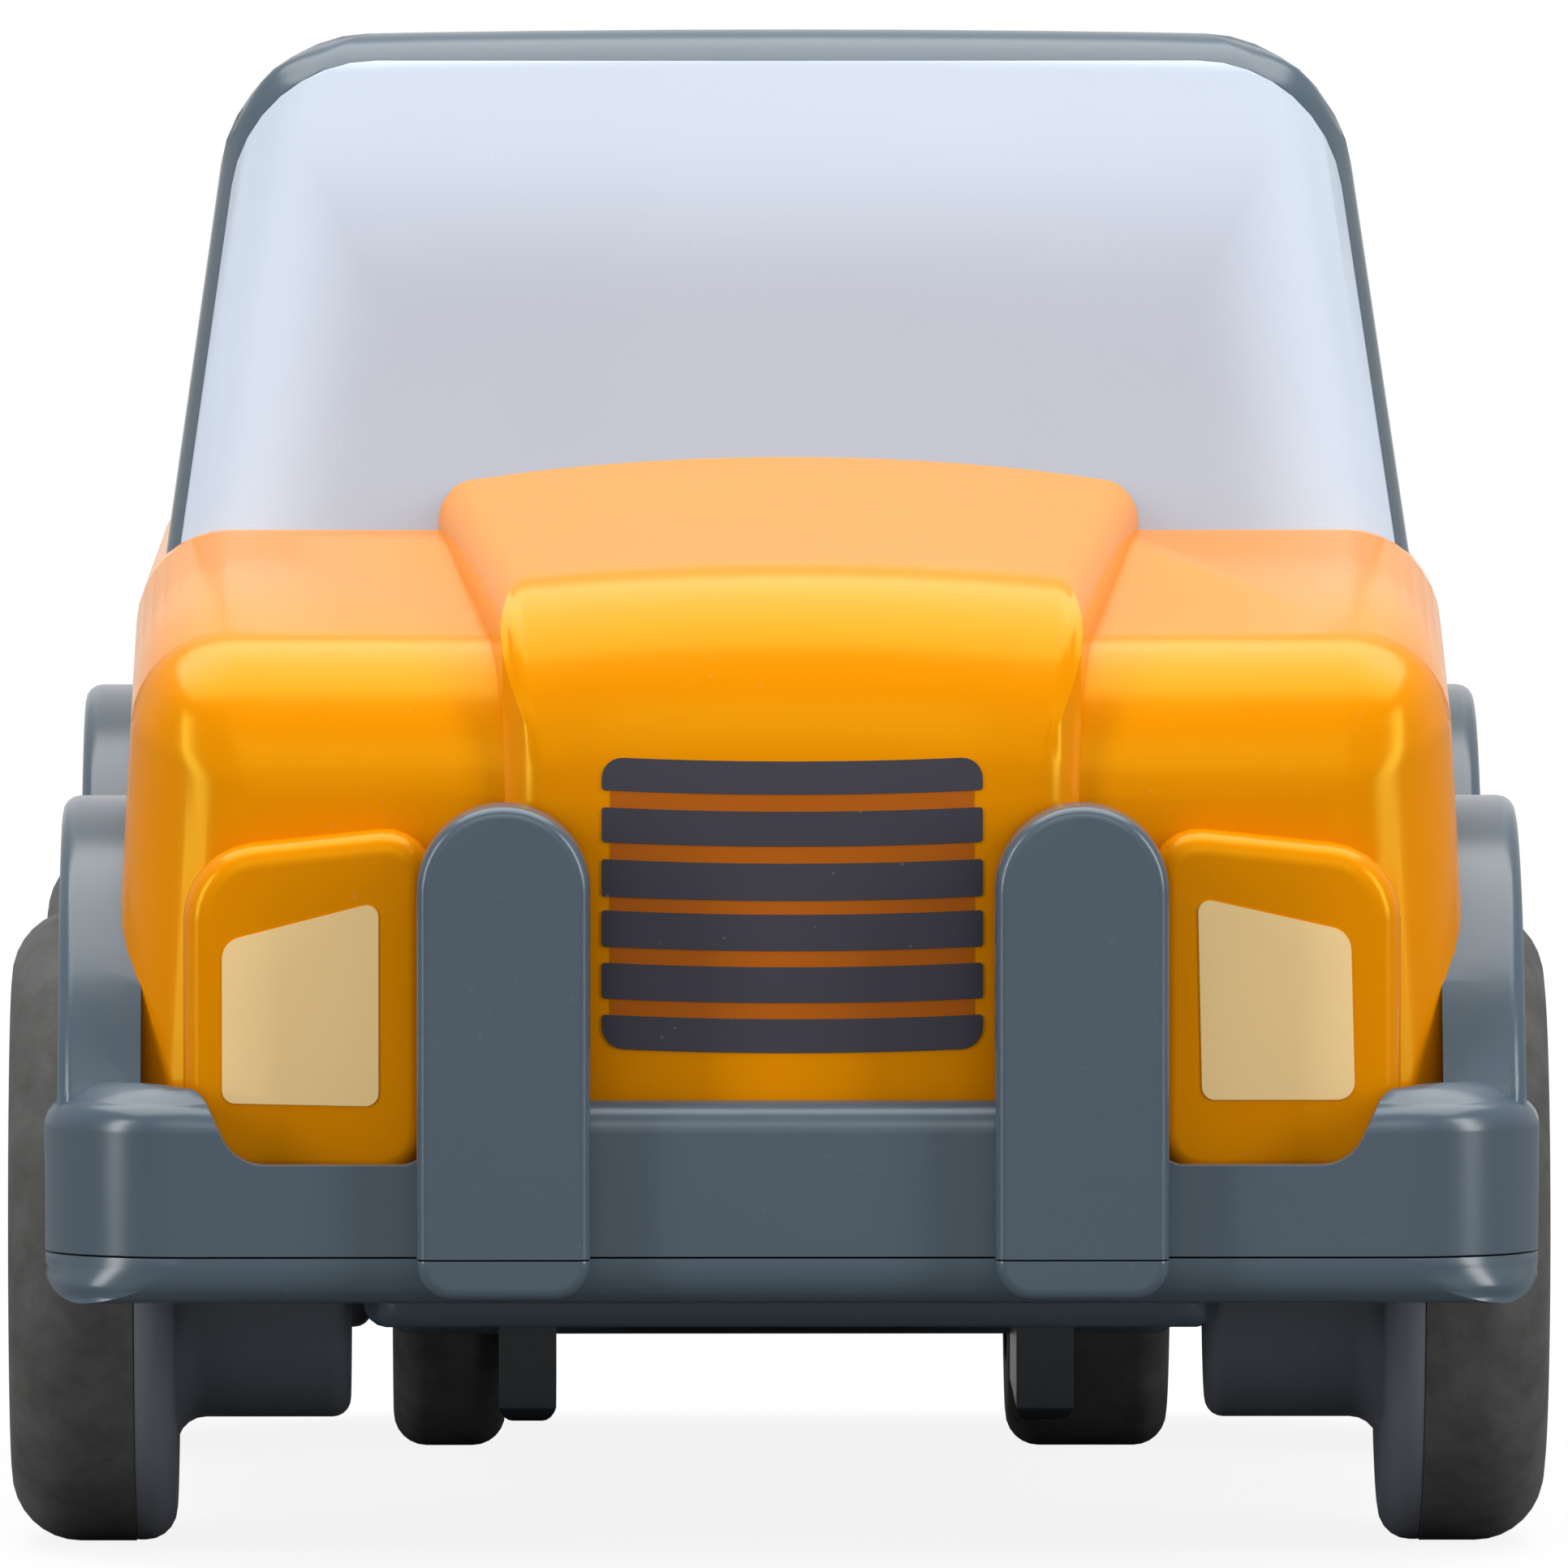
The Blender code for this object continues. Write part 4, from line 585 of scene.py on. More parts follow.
# Darker orange that shows in the gaps between the grille stripes.
GRILLE_GAP_ORANGE = moulded_plastic("grille_gap_orange", (0.42, 0.1, 0.0), 0.4, drift=0.03, speck=0.05, specular=0.2)
TAIL_PRINT = moulded_plastic("tail_print", (0.45, 0.03, 0.02), 0.4, drift=0.03, speck=0.1)
CASE = moulded_plastic("motor_case", (0.03, 0.032, 0.036), 0.5, drift=0.1, speck=0.1)
GEAR = moulded_plastic("gear_plastic", (0.72, 0.71, 0.66), 0.42, drift=0.03, speck=0.02)
STEEL = turned_metal("turned_steel", (0.58, 0.58, 0.57), 0.28)
BRASS = turned_metal("turned_brass", (0.72, 0.48, 0.2), 0.3)

SLOT_FINISH = {"orange_body": ORANGE, "slate_trim": SLATE, "window_pane": PANE,
               "wheel_plastic": HUB, "tyre_rubber": RUBBER, "motor_case": CASE,
               "gear_plastic": GEAR, "steel": STEEL, "brass": BRASS}


def dress_nodes():
    """Give every CAD node the finish of its material slot."""
    for entry in frame["record"]["subparts"]:
        node = frame["nodes"][entry["node"]]
        node.data.materials.clear()
        node.data.materials.append(SLOT_FINISH[entry["material_slot"]])


# Orange body

def wheel_tool(name, side, centre, radius, inner):
    """A round cutter from an inner x out past the side of the car."""
    low, high = sides_of(side, inner, 32)
    return rod(name, centre, radius, low, high)


def fender_block():
    """The body without bonnet and bosses: a tapered box whose fenders fall to the front."""
    body = block("body_moulding", (-BODY_HALF_WIDTH, BODY_FRONT_Y, BODY_BOTTOM_Z),
                 (BODY_HALF_WIDTH, BODY_REAR_Y, BODY_TOP_Z))
    ring_cut(body, 1, (FENDER_BREAK_Y,))
    shift(body, lambda p: p.y < -30 and p.z > 30, (0, 0, -FENDER_FALL))
    widen(body, lambda p: p.z > 30, (BODY_TAPER, 1, 1))

    def radius(middle, along):
        if abs(along.z) > 0.9:
            return 4.6 if middle.y < -37 or middle.y > 39 else 0
        if middle.z < 20:
            return 0
        if abs(along.x) > 0.9:
            return 4.6 if middle.y < -37 else 3.6 if middle.y > 39 else 0
        return 4.4 if middle.y < -20 else 1.9

    return round_edges(body, radius, 8)


def nose_lean(z):
    """How far the nose leans back above the middle of its front."""
    return 0.9 * (max(z - 26, 0) / 8.4) ** 2


def bonnet_block():
    """The bonnet narrows to a bowed nose and is crowned across its top."""
    bonnet = block("bonnet", (-BONNET_HALF_WIDTH, NOSE_Y, 11.8), (BONNET_HALF_WIDTH, -18.5, 37.6))
    ring_cut(bonnet, 2, NOSE_LEVELS)
    ring_cut(bonnet, 0, [step * 1.1 for step in range(-8, 9)])
    widen(bonnet, lambda p: p.y < -30, (NOSE_HALF_WIDTH / BONNET_HALF_WIDTH, 1, 1))
    shift(bonnet, lambda p: p.y < -30 and p.z > 35, (0, 0, -NOSE_FALL))
    bulge(bonnet, lambda p: p.y < -30, lambda p: (0, NOSE_BOW * (p.x / NOSE_HALF_WIDTH) ** 2, 0))
    bulge(bonnet, lambda p: p.z > 32, lambda p: (0, 0, 0.5 - 0.7 * (p.x / 11) ** 2))
    bulge(bonnet, lambda p: p.y < -30 and p.z > 26, lambda p: (0, nose_lean(p.z), 0))

    def radius(middle, along):
        if middle.z > 32 and abs(along.z) < 0.5 and middle.y < -36 and abs(along.y) < 0.8:
            return 5.2
        if middle.z > 32 and abs(along.y) > 0.9 and abs(middle.x) > 9.5:
            return 1.3
        if abs(along.z) > 0.9 and middle.y < -36 and abs(middle.x) > 9.5:
            return 1.3
        return 0

    return round_edges(bonnet, radius, 8)


def lamp_boss(side):
    """The raised panel under a headlamp print, lower at its outer end."""
    low, high = sides_of(side, 12.4, 21.1)
    boss = block("lamp_boss", (low, -39.5, 13.4), (high, -36, 25.9))
    shift(boss, lambda p: side * p.x > 18 and p.z > 20, (0, 0, -0.9))

    def corner(middle, along):
        if abs(along.y) < 0.9:
            return 0
        return 2.4 if side * middle.x > 18 and middle.z > 20 else 1.9

    round_edges(boss, corner, 6)

    def front(middle, along):
        return 0.9 if middle.y < -39.4 and abs(along.y) < 0.5 else 0

    return round_edges(boss, front, 5)


def door_groove(side, y):
    """A thin cutter that leans in with the body side."""
    low_z, high_z = 12, 31.5
    low, high = sides_of(side, 23.8, 25)
    groove = block("door_groove", (low, y - 0.2, low_z), (high, y + 0.2, high_z))
    lean = -side * 0.05 * (high_z - low_z)
    shift(groove, lambda p: p.z > (low_z + high_z) / 2, (lean, 0, 0))
    return groove


def build_body():
    body = fender_block()
    carve(body, bonnet_block(), join=True)
    for side, word in SIDES:
        carve(body, lamp_boss(side), join=True)
    clean(body)
    hollow = block("body_hollow", (-22.2, -36, 5), (22.2, 38, 33.6))
    shift(hollow, lambda p: p.y < -30 and p.z > 30, (0, 0, -5.3))
    widen(hollow, lambda p: p.z > 20, (BODY_TAPER, 1, 1))
    round_edges(hollow, lambda middle, along: 3.4 if abs(along.z) > 0.9 else 0, 6)
    for side, word in SIDES:
        for end, y, z, arch in ENDS:
            carve(hollow, wheel_tool("liner", side, (y, z), arch - 0.5, 19.4))
    carve(body, hollow, block("cabin_opening", (-18.5, -15, 30), (18.5, 34, 40)))
    for side, word in SIDES:
        for end, y, z, arch in ENDS:
            carve(body, wheel_tool("well", side, (y, z), arch - ARCH_INSET, 20.4))
            carve(body, wheel_tool("hub_gap", side, (y, AXLE_Z), HUB_WELL_RADIUS, 14))
        for y in DOOR_LINES:
            carve(body, door_groove(side, y))
    finish_piece(body, ORANGE, "car_body", "orange_body", "body_shell", smooth=30)


def lay_on_nose(piece):
    """Bend a flat print onto the bowed nose and let its rows sag in the middle."""
    ring_cut(piece, 0, [step * 1.1 * NOSE_HALF_WIDTH / BONNET_HALF_WIDTH for step in range(-8, 9)])
    bulge(piece, lambda p: True, lambda p: (0, 0, -0.14 * (1 - (p.x / GRILLE_HALF_WIDTH) ** 2)))
    ring_cut(piece, 2, NOSE_LEVELS)
    bulge(piece, lambda p: True,
          lambda p: (0, NOSE_Y + nose_lean(p.z) + NOSE_BOW * (p.x / NOSE_HALF_WIDTH) ** 2, 0))


def upright_box(low_a, high_a, low_b, high_b, low_round, high_round):
    """Outline of an upright print, with its own rounds below and above."""
    return softened([(low_a, low_b, low_round), (high_a, low_b, low_round),
                     (high_a, high_b, high_round), (low_a, high_b, high_round)])


def build_prints():
    half = GRILLE_HALF_WIDTH
    for number, (top, bottom) in enumerate(GRILLE_STRIPES):
        upper = 0.75 if number == 0 else 0.12
        lower = 0.75 if number == len(GRILLE_STRIPES) - 1 else 0.12
        outline = upright_box(-half, half, bottom, top, lower, upper)
        stripe = slab("grille_stripe_%d" % (number + 1), outline, "Y", -0.04, 0.06)
        lay_on_nose(stripe)
        finish_piece(stripe, GRILLE_PRINT, "car_body", "orange_body", smooth=50)
    # A darker orange patch behind the stripes, seen in the gaps between them.
    gap_patch = slab("grille_gap_orange", upright_box(-6.3, 6.3, 18.5, 27.9, 0.5, 0.5), "Y", -0.02, 0.06)
    lay_on_nose(gap_patch)
    finish_piece(gap_patch, GRILLE_GAP_ORANGE, "car_body", "orange_body", smooth=50)
    headlamps = {"left": [(-19.75, 16.25, 0.45), (-14.33, 16.14, 0.45),
                          (-14.33, 23.24, 0.4), (-19.75, 21.85, 0.75)],
                 "right": [(14.2, 16.36, 0.45), (19.5, 16.36, 0.6),
                           (19.35, 22.2, 0.8), (14.05, 23.38, 0.4)]}
    for side, word in SIDES:
        lamp = slab("headlamp_print_" + word, softened(headlamps[word]), "Y", -39.54, -39.44)
        finish_piece(lamp, LAMP_PRINT, "car_body", "orange_body", smooth=50)
    for side, word in SIDES:
        low, high = sides_of(side, 15.2, 19.0)
        lamp = slab("tail_print_" + word, upright_box(low, high, 20, 28, 0.6, 0.6), "Y", 39.94, 40.04)
        finish_piece(lamp, TAIL_PRINT, "car_body", "orange_body", smooth=50)


# Slate cabin and pale panes

def cabin_block(name, shrink=0.0, drop=0.0):
    """The cabin's outer form, or its hollow when it shrinks by a wall."""
    half = CABIN_HALF_WIDTH - shrink
    cabin = block(name, (-half, CABIN_FRONT_Y + shrink, CABIN_BASE_Z - drop),
                  (half, CABIN_REAR_Y - shrink, ROOF_Z - shrink))
    widen(cabin, lambda p: p.z > 45, ((half - CABIN_RISE * SIDE_SLOPE) / half, 1, 1))
    shift(cabin, lambda p: p.z > 45 and p.y < 0, (0, CABIN_RISE * SCREEN_RAKE, 0))
    shift(cabin, lambda p: p.z > 45 and p.y > 0, (0, -CABIN_RISE * SIDE_SLOPE, -ROOF_FALL))
    ring_cut(cabin, 0, (-12.9, -8.6, -4.3, 0, 4.3, 8.6, 12.9))
    bulge(cabin, lambda p: p.y < 0, lambda p: (0, -0.9 * (1 - (p.x / 22) ** 2), 0))
    bulge(cabin, lambda p: p.z > 45, lambda p: (0, 0, 0.25 * (1 - (p.x / 19.5) ** 2)))
    pillar = max(3.2 - shrink, 0.6)
    roof_side = max(4.6 - shrink, 0.6)
    roof_front = max(1.6 - shrink, 0.5)

    def radius(middle, along):
        if middle.z < 36 and abs(along.z) < 0.7 or abs(middle.x) < 13.2 and abs(along.x) < 0.9:
            return 0
        if abs(along.z) > 0.7:
            return pillar
        if abs(along.y) > 0.9:
            return roof_side
        return roof_front if middle.y < 0 else pillar

    return round_edges(cabin, radius, 8)


def screen_corners(gap):
    """The windscreen's outline seen from the front, inside its hole by a gap."""
    top = SCREEN_TOP_Z - gap
    right = SCREEN_HALF_WIDTH - gap
    lean = right - (top - BODY_TOP_Z) * SIDE_SLOPE
    return softened([(-right - 0.26, 33.4, 0), (right + 0.26, 33.4, 0),
                     (lean, top, 5.2), (-lean, top, 5.2)], 8)


def window_pane_piece(name, outline, axis, low, high):
    """A small window: the cabin's wall, a little inside its surface, cut to an outline."""
    pane = cabin_block(name + "_pane", 0.25)
    carve(pane, cabin_block("pane_hollow", 1.35, 4))
    carve(pane, slab("form", outline, axis, low, high), common=True)
    soften(pane, 0.12)
    finish_piece(pane, PANE, "car_body", "window_pane", name)


def build_cabin():
    cabin = cabin_block("cabin_moulding")
    carve(cabin, cabin_block("cabin_hollow", CABIN_WALL, 4))
    screen = cabin_block("windscreen_pane")
    carve(screen, cabin_block("screen_hollow", 1.35, 4))
    carve(cabin, slab("screen_hole", screen_corners(0), "Y", -40, 2))
    carve(screen, slab("screen_form", screen_corners(0.01), "Y", -40, 2), common=True)
    windows = {"door_window": (-9.6, 7, 7, -4.2), "rear_side_window": (10, 29.6, 28.4, 10)}
    heights = (WINDOW_SILL_Z, WINDOW_SILL_Z, WINDOW_HEAD_Z, WINDOW_HEAD_Z)
    for side, word in SIDES:
        low, high = sides_of(side, 14, 25)
        for kind, places in windows.items():
            outline = softened([(y, z, WINDOW_ROUND) for y, z in zip(places, heights)])
            carve(cabin, slab("hole", outline, "X", low, high))
            small = [(y * 0.988 + 0.012 * 9, z * 0.992 + 0.008 * 42.6) for y, z in outline]
            window_pane_piece(kind + "_" + word, small, "X", low, high)
    rear = softened([(x, z, WINDOW_ROUND) for x, z in zip((-17, 17, 15.6, -15.6), heights)])
    carve(cabin, slab("hole", rear, "Y", 30, 42))
    window_pane_piece("rear_window", [(x * 0.992, z * 0.992 + 0.34) for x, z in rear], "Y", 30, 42)
    finish_piece(screen, PANE, "car_body", "window_pane", "windscreen")
    finish_piece(cabin, SLATE, "car_body", "slate_trim", "cabin_shell")


# Bumper frame and base pan

def belt_block(name, low_z, high_z, inset=0.0):
    """A level slice of the bumper belt, still with sharp corners."""
    return block(name, (-BELT_HALF_WIDTH + inset, BELT_FRONT_Y + inset, low_z),
                 (BELT_HALF_WIDTH - inset, BELT_REAR_Y - inset, high_z))


def bar_block(name, side, low_z, high_z, round_top):
    """A bull bar with a round top, or its foot on the pan with two rounded lower corners."""
    bar = block(name, (side * BAR_X - BAR_HALF_WIDTH, BAR_FRONT_Y, low_z),
                (side * BAR_X + BAR_HALF_WIDTH, -39.6, high_z))
    tall = BAR_HALF_WIDTH - 0.01 if round_top else 0
    low = 0 if round_top else 1.25

    def corner(middle, along):
        if abs(along.y) < 0.9:
            return 0
        return tall if middle.z > (low_z + high_z) / 2 else low

    round_edges(bar, corner, 14 if round_top else 6)
    seam = high_z - 0.01 if not round_top else low_z + 0.01

    def front(middle, along):
        if middle.y > -42.9 or abs(along.y) > 0.5:
            return 0
        on_seam = middle.z > seam if not round_top else middle.z < seam
        return 0 if on_seam else 0.42

    return round_edges(bar, front, 4)


def flare(name, side, y, z, arch):
    """Half a ring with a rounded outer lip, running down into the belt."""
    low, high = sides_of(side, FLARE_INNER_X, FLARE_OUTER_X)
    ring = rod(name, (y, z), arch + FLARE_WIDTH, low, high)
    outer = side * FLARE_OUTER_X

    def lip(middle, along):
        return 0.6 if abs(middle.x - outer) < 0.1 and abs(along.x) < 0.1 else 0

    round_edges(ring, lip, 4)
    carve(ring, rod("flare_gap", (y, z), arch, -40, 40))
    carve(ring, block("flare_foot", (-40, y - 20, -20), (40, y + 20, 15.8)), fender_block())
    return ring


def rounded_belt(name, low_z, high_z, inset, top_radius):
    """A belt whose upright corners and outer top edge are rounded."""
    belt = belt_block(name, low_z, high_z, inset)
    round_edges(belt, lambda middle, along: BELT_CORNER - inset if abs(along.z) > 0.9 else 0, 8)
    return round_edges(belt, lambda middle, along: top_radius if middle.z > high_z - 0.1 else 0, 6)


def notch_outline(side):
    """The cut round a headlamp boss, seen from the front."""
    corners = [(12, 16.6, 0), (12.9, 14.2, 0.9), (19.3, 14.2, 1.6), (20.5, 16.8, 1.1), (22.5, 17.06, 0),
               (22.5, 20, 0), (12, 20, 0)]
    return softened([(side * x, z, radius) for x, z, radius in (corners if side > 0 else corners[::-1])])


def build_bumper():
    frame_piece = rounded_belt("bumper_moulding", SEAM_TOP_Z, LEDGE_Z, 0, 1.1)
    shoulders = rounded_belt("bumper_shoulders", 12, 17, 0.02, 2.2)
    carve(shoulders, block("ledge_gap", (-19.4, -50, 10), (19.4, -36, 20)))
    carve(frame_piece, shoulders, join=True)
    inner = block("belt_hollow", (-24.3, -40.3, 5), (24.3, 40.3, 25))
    round_edges(inner, lambda middle, along: 4.9 if abs(along.z) > 0.9 else 0, 8)
    carve(frame_piece, inner)
    for side, word in SIDES:
        carve(frame_piece, slab("lamp_notch", notch_outline(side), "Y", -45, -36))
    for side, word in SIDES:
        for end, y, z, arch in ENDS:
            carve(frame_piece, wheel_tool("well", side, (y, z), arch, 20.1))
    clean(frame_piece)
    soften(frame_piece, 0.22, 3, 40)
    for side, word in SIDES:
        carve(frame_piece, bar_block("bull_bar", side, SEAM_TOP_Z, BAR_TOP_Z, True), join=True)
        for end, y, z, arch in ENDS:
            carve(frame_piece, flare("flare", side, y, z, arch), join=True)
    finish_piece(frame_piece, SLATE, "car_body", "slate_trim", "bumper_frame")


def low_corners(upright, low_z, low_radius):
    """Rounds for a tray's upright edges and for its edges at or below a height."""
    def radius(middle, along):
        return upright if abs(along.z) > 0.9 else low_radius if middle.z < low_z else 0

    return radius


def drill(piece, name, x, y, z, radius, depth):
    """A round hole along Z about a middle height."""
    bpy.ops.object.select_all(action="DESELECT")
    bpy.ops.mesh.primitive_cylinder_add(vertices=48, radius=radius * MM, depth=depth * MM,
                                        location=(x * MM, y * MM, z * MM))
    carve(piece, settle(name))


def build_pan():
    pan = belt_block("pan_moulding", 9.35, SEAM_BOTTOM_Z)
    round_edges(pan, low_corners(BELT_CORNER, 9.4, 1.3), 8)
    belly = block("belly", (-14.9, -36, 8.2), (14.9, 10, 10.4))
    round_edges(belly, low_corners(2, 8.3, 0.8), 4)
    sump = block("sump", (-14.6, 8, 5.1), (14.6, 38.4, 10.5))
    round_edges(sump, low_corners(2, 5.2, 1.2), 5)
    carve(pan, belly, sump, join=True)
    carve(pan, block("sump_hollow", (-13.8, 8.8, 5.9), (13.8, 37.6, 12.5)))
    for side, word in SIDES:
        low, high = sides_of(side, DRIVE_WHEEL_OUTER_X - DRIVE_WHEEL_WIDTHS[word] - 0.6, 15.6)
        carve(pan, block("drive_slot", (low, REAR_AXLE_Y - 11.7, 2), (high, REAR_AXLE_Y + 11.7, 13)))
    for side, word in SIDES:
        carve(pan, bar_block("bar_foot", side, 9.6, SEAM_BOTTOM_Z, False), join=True)
        low, high = sides_of(side, 8.2, 10.25)
        fin = block("guide_fin", (low, -10, 3.2), (high, 6, 9.2))
        round_edges(fin, lambda middle, along: 0.5 if middle.z < 3.3 else 0, 4)
        carve(pan, fin, join=True)
        for end, y, z, arch in ENDS:
            carve(pan, wheel_tool("well", side, (y, z), arch, 20.4))
            carve(pan, wheel_tool("hub_well", side, (y, AXLE_Z), HUB_WELL_RADIUS, 14.2))
    for x, y in ((-20, -5.5), (20, -5.5), (0, -31.5)):
        drill(pan, "screw_recess", x, y, 7.8, 2.05, 3.6)
        drill(pan, "screw_bore", x, y, 10, 1.15, 6)
    carve(pan, rod("axle_slot", (FRONT_AXLE_Y, AXLE_Z), AXLE_HOLE_RADIUS, -15, 15, 24))
    soften(pan, 0.15, 2, 50)
    finish_piece(pan, SLATE, "car_body", "slate_trim", "base_pan")


# Wheels, tyres and screws

def road_wheel(name, y, inner, radius):
    """A right-hand wheel: long inner hub, rim flange, dished face with five pockets."""
    hole, seat, flange = AXLE_HOLE_RADIUS, RIM_SEAT_RADIUS, inner + RIM_FLANGE
    profile = softened([(15, hole, 0), (26.4, hole, 0.2), (26.4, 3, 0.3), (24.9, 3.6, 0.4), (24.9, 7.1, 0.4),
                        (26.4, 8.4, 0.2), (26.5, seat, 0), (flange, seat, 0), (flange, radius - 0.03, 0.04),
                        (inner, radius - 0.03, 1.1), (inner, 6.75, 1.0), (15, 6.75, 0.65)], 5)
    wheel = turned(name, profile, (y, AXLE_Z))
    for number in range(5):
        angle = 2 * math.pi * number / 5
        centre = (y + 5.4 * math.cos(angle), AXLE_Z + 5.4 * math.sin(angle))
        carve(wheel, rod("pocket", centre, 0.8, 23.8, 28, 24))
    soften(wheel, 0.12, 2, 60)
    return wheel


def road_tyre(name, y, inner, radius):
    """A right-hand tyre with a round outer shoulder, against the rim flange."""
    bore, edge = RIM_SEAT_RADIUS + 0.05, inner + RIM_FLANGE + 0.01
    profile = softened([(TYRE_OUTER_X, bore, 0), (TYRE_OUTER_X, radius, 2.4), (edge, radius, 0.04),
                        (edge, bore, 0)], 8)
    return turned(name, profile, (y, AXLE_Z))


def build_axle_set(end, y, inner, radius, shift_x):
    """Both wheels and tyres of an axle, which lies shift_x to the side."""
    body = end + "_axle_set"
    wheel = road_wheel(end + "_wheel_right_turned", y, inner, radius)
    tyre = road_tyre(end + "_tyre_right_turned", y, inner, radius)
    pairs = ((wheel, HUB, "wheel_plastic", "_wheel_"), (tyre, RUBBER, "tyre_rubber", "_tyre_"))
    for right, material, slot, kind in pairs:
        left = mirrored(right, end + kind + "left_turned")
        for piece, word in ((left, "left"), (right, "right")):
            if shift_x:
                shift(piece, lambda p: True, (shift_x, 0, 0))
            finish_piece(piece, material, body, slot, end + kind + word)


def build_drive_wheels():
    axle = (REAR_AXLE_Y, AXLE_Z)
    for side, word in SIDES:
        low, high = DRIVE_WHEEL_OUTER_X - DRIVE_WHEEL_WIDTHS[word], DRIVE_WHEEL_OUTER_X
        profile = softened([(low, 8.05, 0), (high, 8.05, 0), (high, AXLE_Z, 1.2), (low, AXLE_Z, 1.2)], 6)
        tyre = turned("drive_tyre_%s_turned" % word, [(side * x, r) for x, r in profile], axle)
        finish_piece(tyre, RUBBER, "rear_axle_set", "tyre_rubber", "drive_tyre_" + word)
        profile = softened([(low + 1, AXLE_HOLE_RADIUS, 0), (high - 1, AXLE_HOLE_RADIUS, 0.2),
                            (high - 1, 2.6, 0.3), (high - 1.4, 3, 0.3), (high - 1.4, 7, 0.4),
                            (high - 0.2, 7.3, 0.3), (high - 0.2, 8, 0), (low + 0.2, 8, 0),
                            (low + 0.2, 7, 0.3), (low + 1, 2.5, 0.3)], 4)
        core = turned("drive_wheel_%s_turned" % word, [(side * x, r) for x, r in profile], axle)
        finish_piece(core, HUB, "rear_axle_set", "wheel_plastic", "drive_wheel_" + word)


def build_screws():
    """Pan-head screws that point up, with a cross recess, placed where the part has its screws."""
    for word in ("left", "right", "nose"):
        node = "body_screw_" + word
        low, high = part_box(node)
        middle = (low + high) / 2 / MM
        base = low.z / MM
        bpy.ops.object.select_all(action="DESELECT")
        bpy.ops.mesh.primitive_cylinder_add(vertices=48, radius=1.9 * MM, depth=1.05 * MM,
                                            location=(middle.x * MM, middle.y * MM, (base + 0.525) * MM))
        head = settle(node + "_cross_head")
        round_edges(head, lambda m, along: 0.45 if m.z < base + 0.1 and abs(along.z) < 0.5 else 0, 5)
        bpy.ops.mesh.primitive_cylinder_add(vertices=32, radius=1.0 * MM, depth=6.2 * MM,
                                            location=(middle.x * MM, middle.y * MM, (base + 4) * MM))
        carve(head, settle("shank"), join=True)
        for wide, deep in ((1.1, 0.22), (0.22, 1.1)):
            carve(head, block("cross", (middle.x - wide, middle.y - deep, base - 1),
                              (middle.x + wide, middle.y + deep, base + 0.6)))
        finish_piece(head, STEEL, "car_body", "steel", node)


# Studio

def build_floor():
    """A pale floor that fades out round the car and keeps its shadow; to bounced light it is dark grey, as
    painted shade under the car.
    """
    bpy.ops.object.select_all(action="DESELECT")
    bpy.ops.mesh.primitive_plane_add(size=1.6)
    floor = settle("floor")
    material, nodes, link = shader_of("pale_floor")
    shader = nodes["Principled BSDF"]
    shader.inputs["Roughness"].default_value = 0.9
    shader.inputs["Specular IOR Level"].default_value = 0
    where = nodes.new("ShaderNodeTexCoord")
    away = nodes.new("ShaderNodeVectorMath")
    away.operation = "LENGTH"
    link(where.outputs["Object"], away.inputs[0])
    fade = map_range(nodes, (0.06, 0.3), (0.12, 0), "SMOOTHERSTEP")
    link(away.outputs["Value"], fade.inputs["Value"])
    paths = nodes.new("ShaderNodeLightPath")
    cover = nodes.new("ShaderNodeMix")
    cover.inputs["A"].default_value = 1
    link(paths.outputs["Is Camera Ray"], cover.inputs["Factor"])
    link(fade.outputs["Result"], cover.inputs["B"])
    link(cover.outputs["Result"], shader.inputs["Alpha"])
    # Painted shade: dark grey to bounced light and pale only to the camera, so the car's underside stays
    # dark as if the floor beneath it lay in shade.
    paper = colour_mix(nodes, (0.2, 0.2, 0.2), (0.93, 0.93, 0.93))
    link(paths.outputs["Is Camera Ray"], paper.inputs["Factor"])
    link(paper.outputs["Result"], shader.inputs["Base Color"])
    floor.data.materials.append(material)


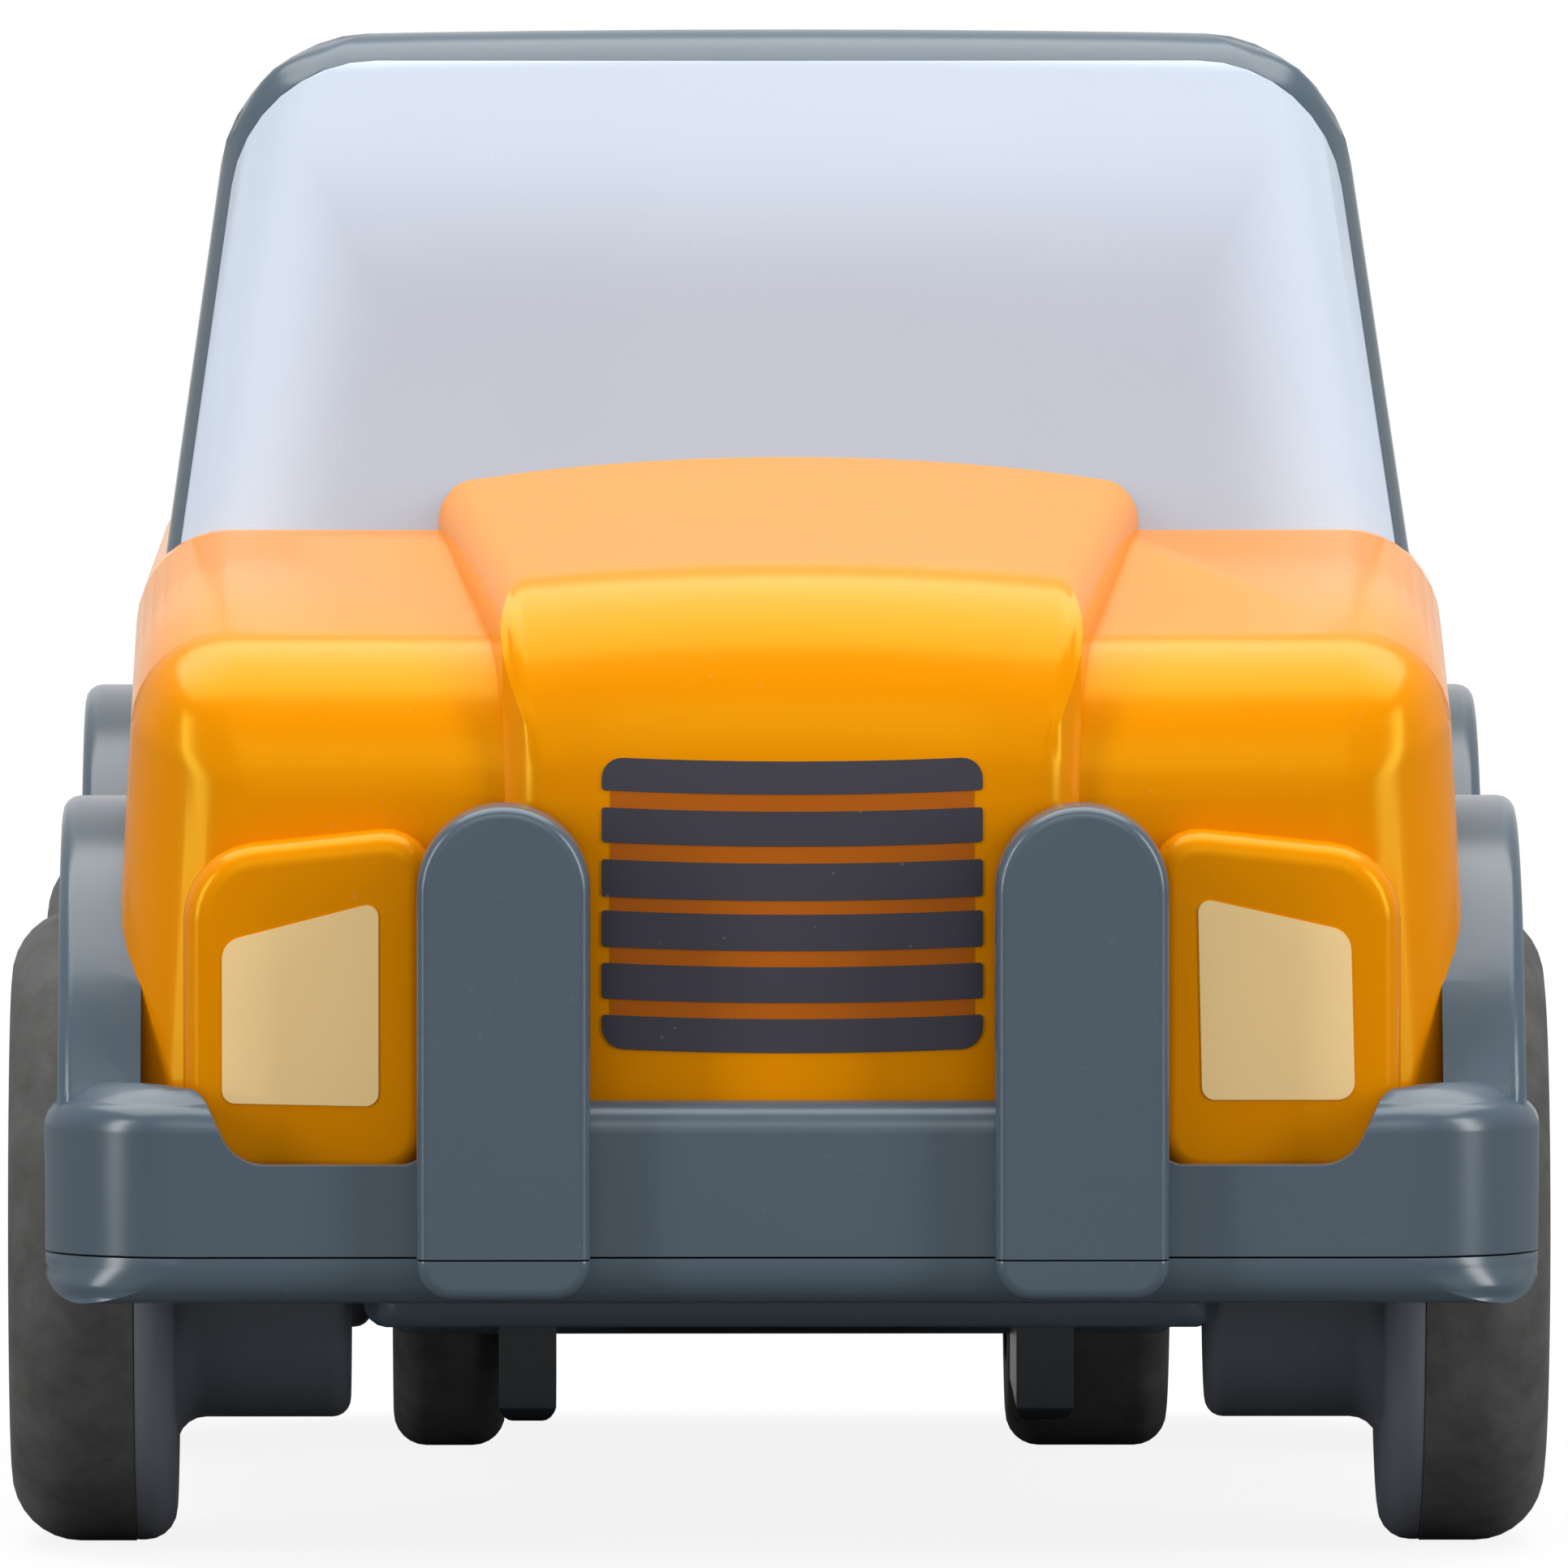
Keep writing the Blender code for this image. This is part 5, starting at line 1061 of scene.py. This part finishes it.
def build_world():
    """White where the camera looks, with a white backdrop low down in the reflections."""
    world = bpy.data.worlds.new("studio")
    bpy.context.scene.world = world
    world.use_nodes = True
    nodes = world.node_tree.nodes
    link = world.node_tree.links.new
    paper = nodes["Background"]
    paper.inputs["Color"].default_value = (1, 1, 1, 1)
    paths = nodes.new("ShaderNodeLightPath")
    where = nodes.new("ShaderNodeTexCoord")
    split = nodes.new("ShaderNodeSeparateXYZ")
    link(where.outputs["Generated"], split.inputs["Vector"])
    backdrop = map_range(nodes, (0.5, 0.8), (1, 0.4), "SMOOTHSTEP")
    link(split.outputs["Z"], backdrop.inputs["Value"])
    aside = maths(nodes, "ABSOLUTE")
    link(split.outputs["X"], aside.inputs[0])
    wing = map_range(nodes, (0.15, 0.4), (1, 0.2), "SMOOTHSTEP")
    link(aside.outputs[0], wing.inputs["Value"])
    sweep = maths(nodes, "MULTIPLY")
    link(backdrop.outputs["Result"], sweep.inputs[0])
    link(wing.outputs["Result"], sweep.inputs[1])
    gloss = maths(nodes, "MULTIPLY")
    link(paths.outputs["Is Glossy Ray"], gloss.inputs[0])
    link(sweep.outputs[0], gloss.inputs[1])
    seen = maths(nodes, "MAXIMUM")
    link(paths.outputs["Is Camera Ray"], seen.inputs[0])
    link(gloss.outputs[0], seen.inputs[1])
    also = maths(nodes, "MAXIMUM")
    link(seen.outputs[0], also.inputs[0])
    link(paths.outputs["Is Transmission Ray"], also.inputs[1])
    level = map_range(nodes, to_values=(0.32, 1))
    link(also.outputs[0], level.inputs["Value"])
    link(level.outputs["Result"], paper.inputs["Strength"])


CAR_MIDDLE = (0, 0, 0.025)


def soft_light(name, place, size, power):
    """A rectangular lamp, in metres and watts, that looks at the middle of the car."""
    light = bpy.data.lights.new(name, "AREA")
    light.shape = "RECTANGLE"
    light.size = size[0]
    light.size_y = size[1]
    light.energy = power
    lamp = bpy.data.objects.new(name, light)
    lamp.location = place
    lamp.rotation_euler = (Vector(CAR_MIDDLE) - Vector(place)).to_track_quat("-Z", "Y").to_euler()
    bpy.context.scene.collection.objects.link(lamp)


def build_lights():
    soft_light("front_softbox", (0, -0.8, 0.5), (0.7, 0.35), 1.0)
    soft_light("top_softbox", (0, 0.12, 0.9), (1.2, 0.9), 12.5)
    soft_light("left_strip", (-0.8, -0.5, 0.3), (0.2, 0.7), 4.4)
    soft_light("right_strip", (0.8, -0.45, 0.35), (0.25, 0.7), 5.0)


def build_camera():
    camera = bpy.data.cameras.new("photo_camera")
    camera.lens = 686.8
    camera.sensor_width = 36
    camera.clip_start = 0.01
    camera.clip_end = 50
    view = bpy.data.objects.new("photo_camera", camera)
    view.location = (-0.0074, -1.074, 0.0752)
    view.rotation_euler = (math.radians(90 - 2.65), 0, math.radians(-0.394))
    bpy.context.scene.collection.objects.link(view)
    bpy.context.scene.camera = view
    bpy.context.scene.view_settings.view_transform = "Standard"


dress_nodes()
build_body()
build_prints()
build_cabin()
build_bumper()
build_pan()
build_axle_set("front", FRONT_AXLE_Y, 21.1, 11.1, -0.4)
build_axle_set("rear", REAR_AXLE_Y, 22.1, 10.9, 0)
build_drive_wheels()
build_screws()
build_floor()
build_world()
build_lights()
build_camera()
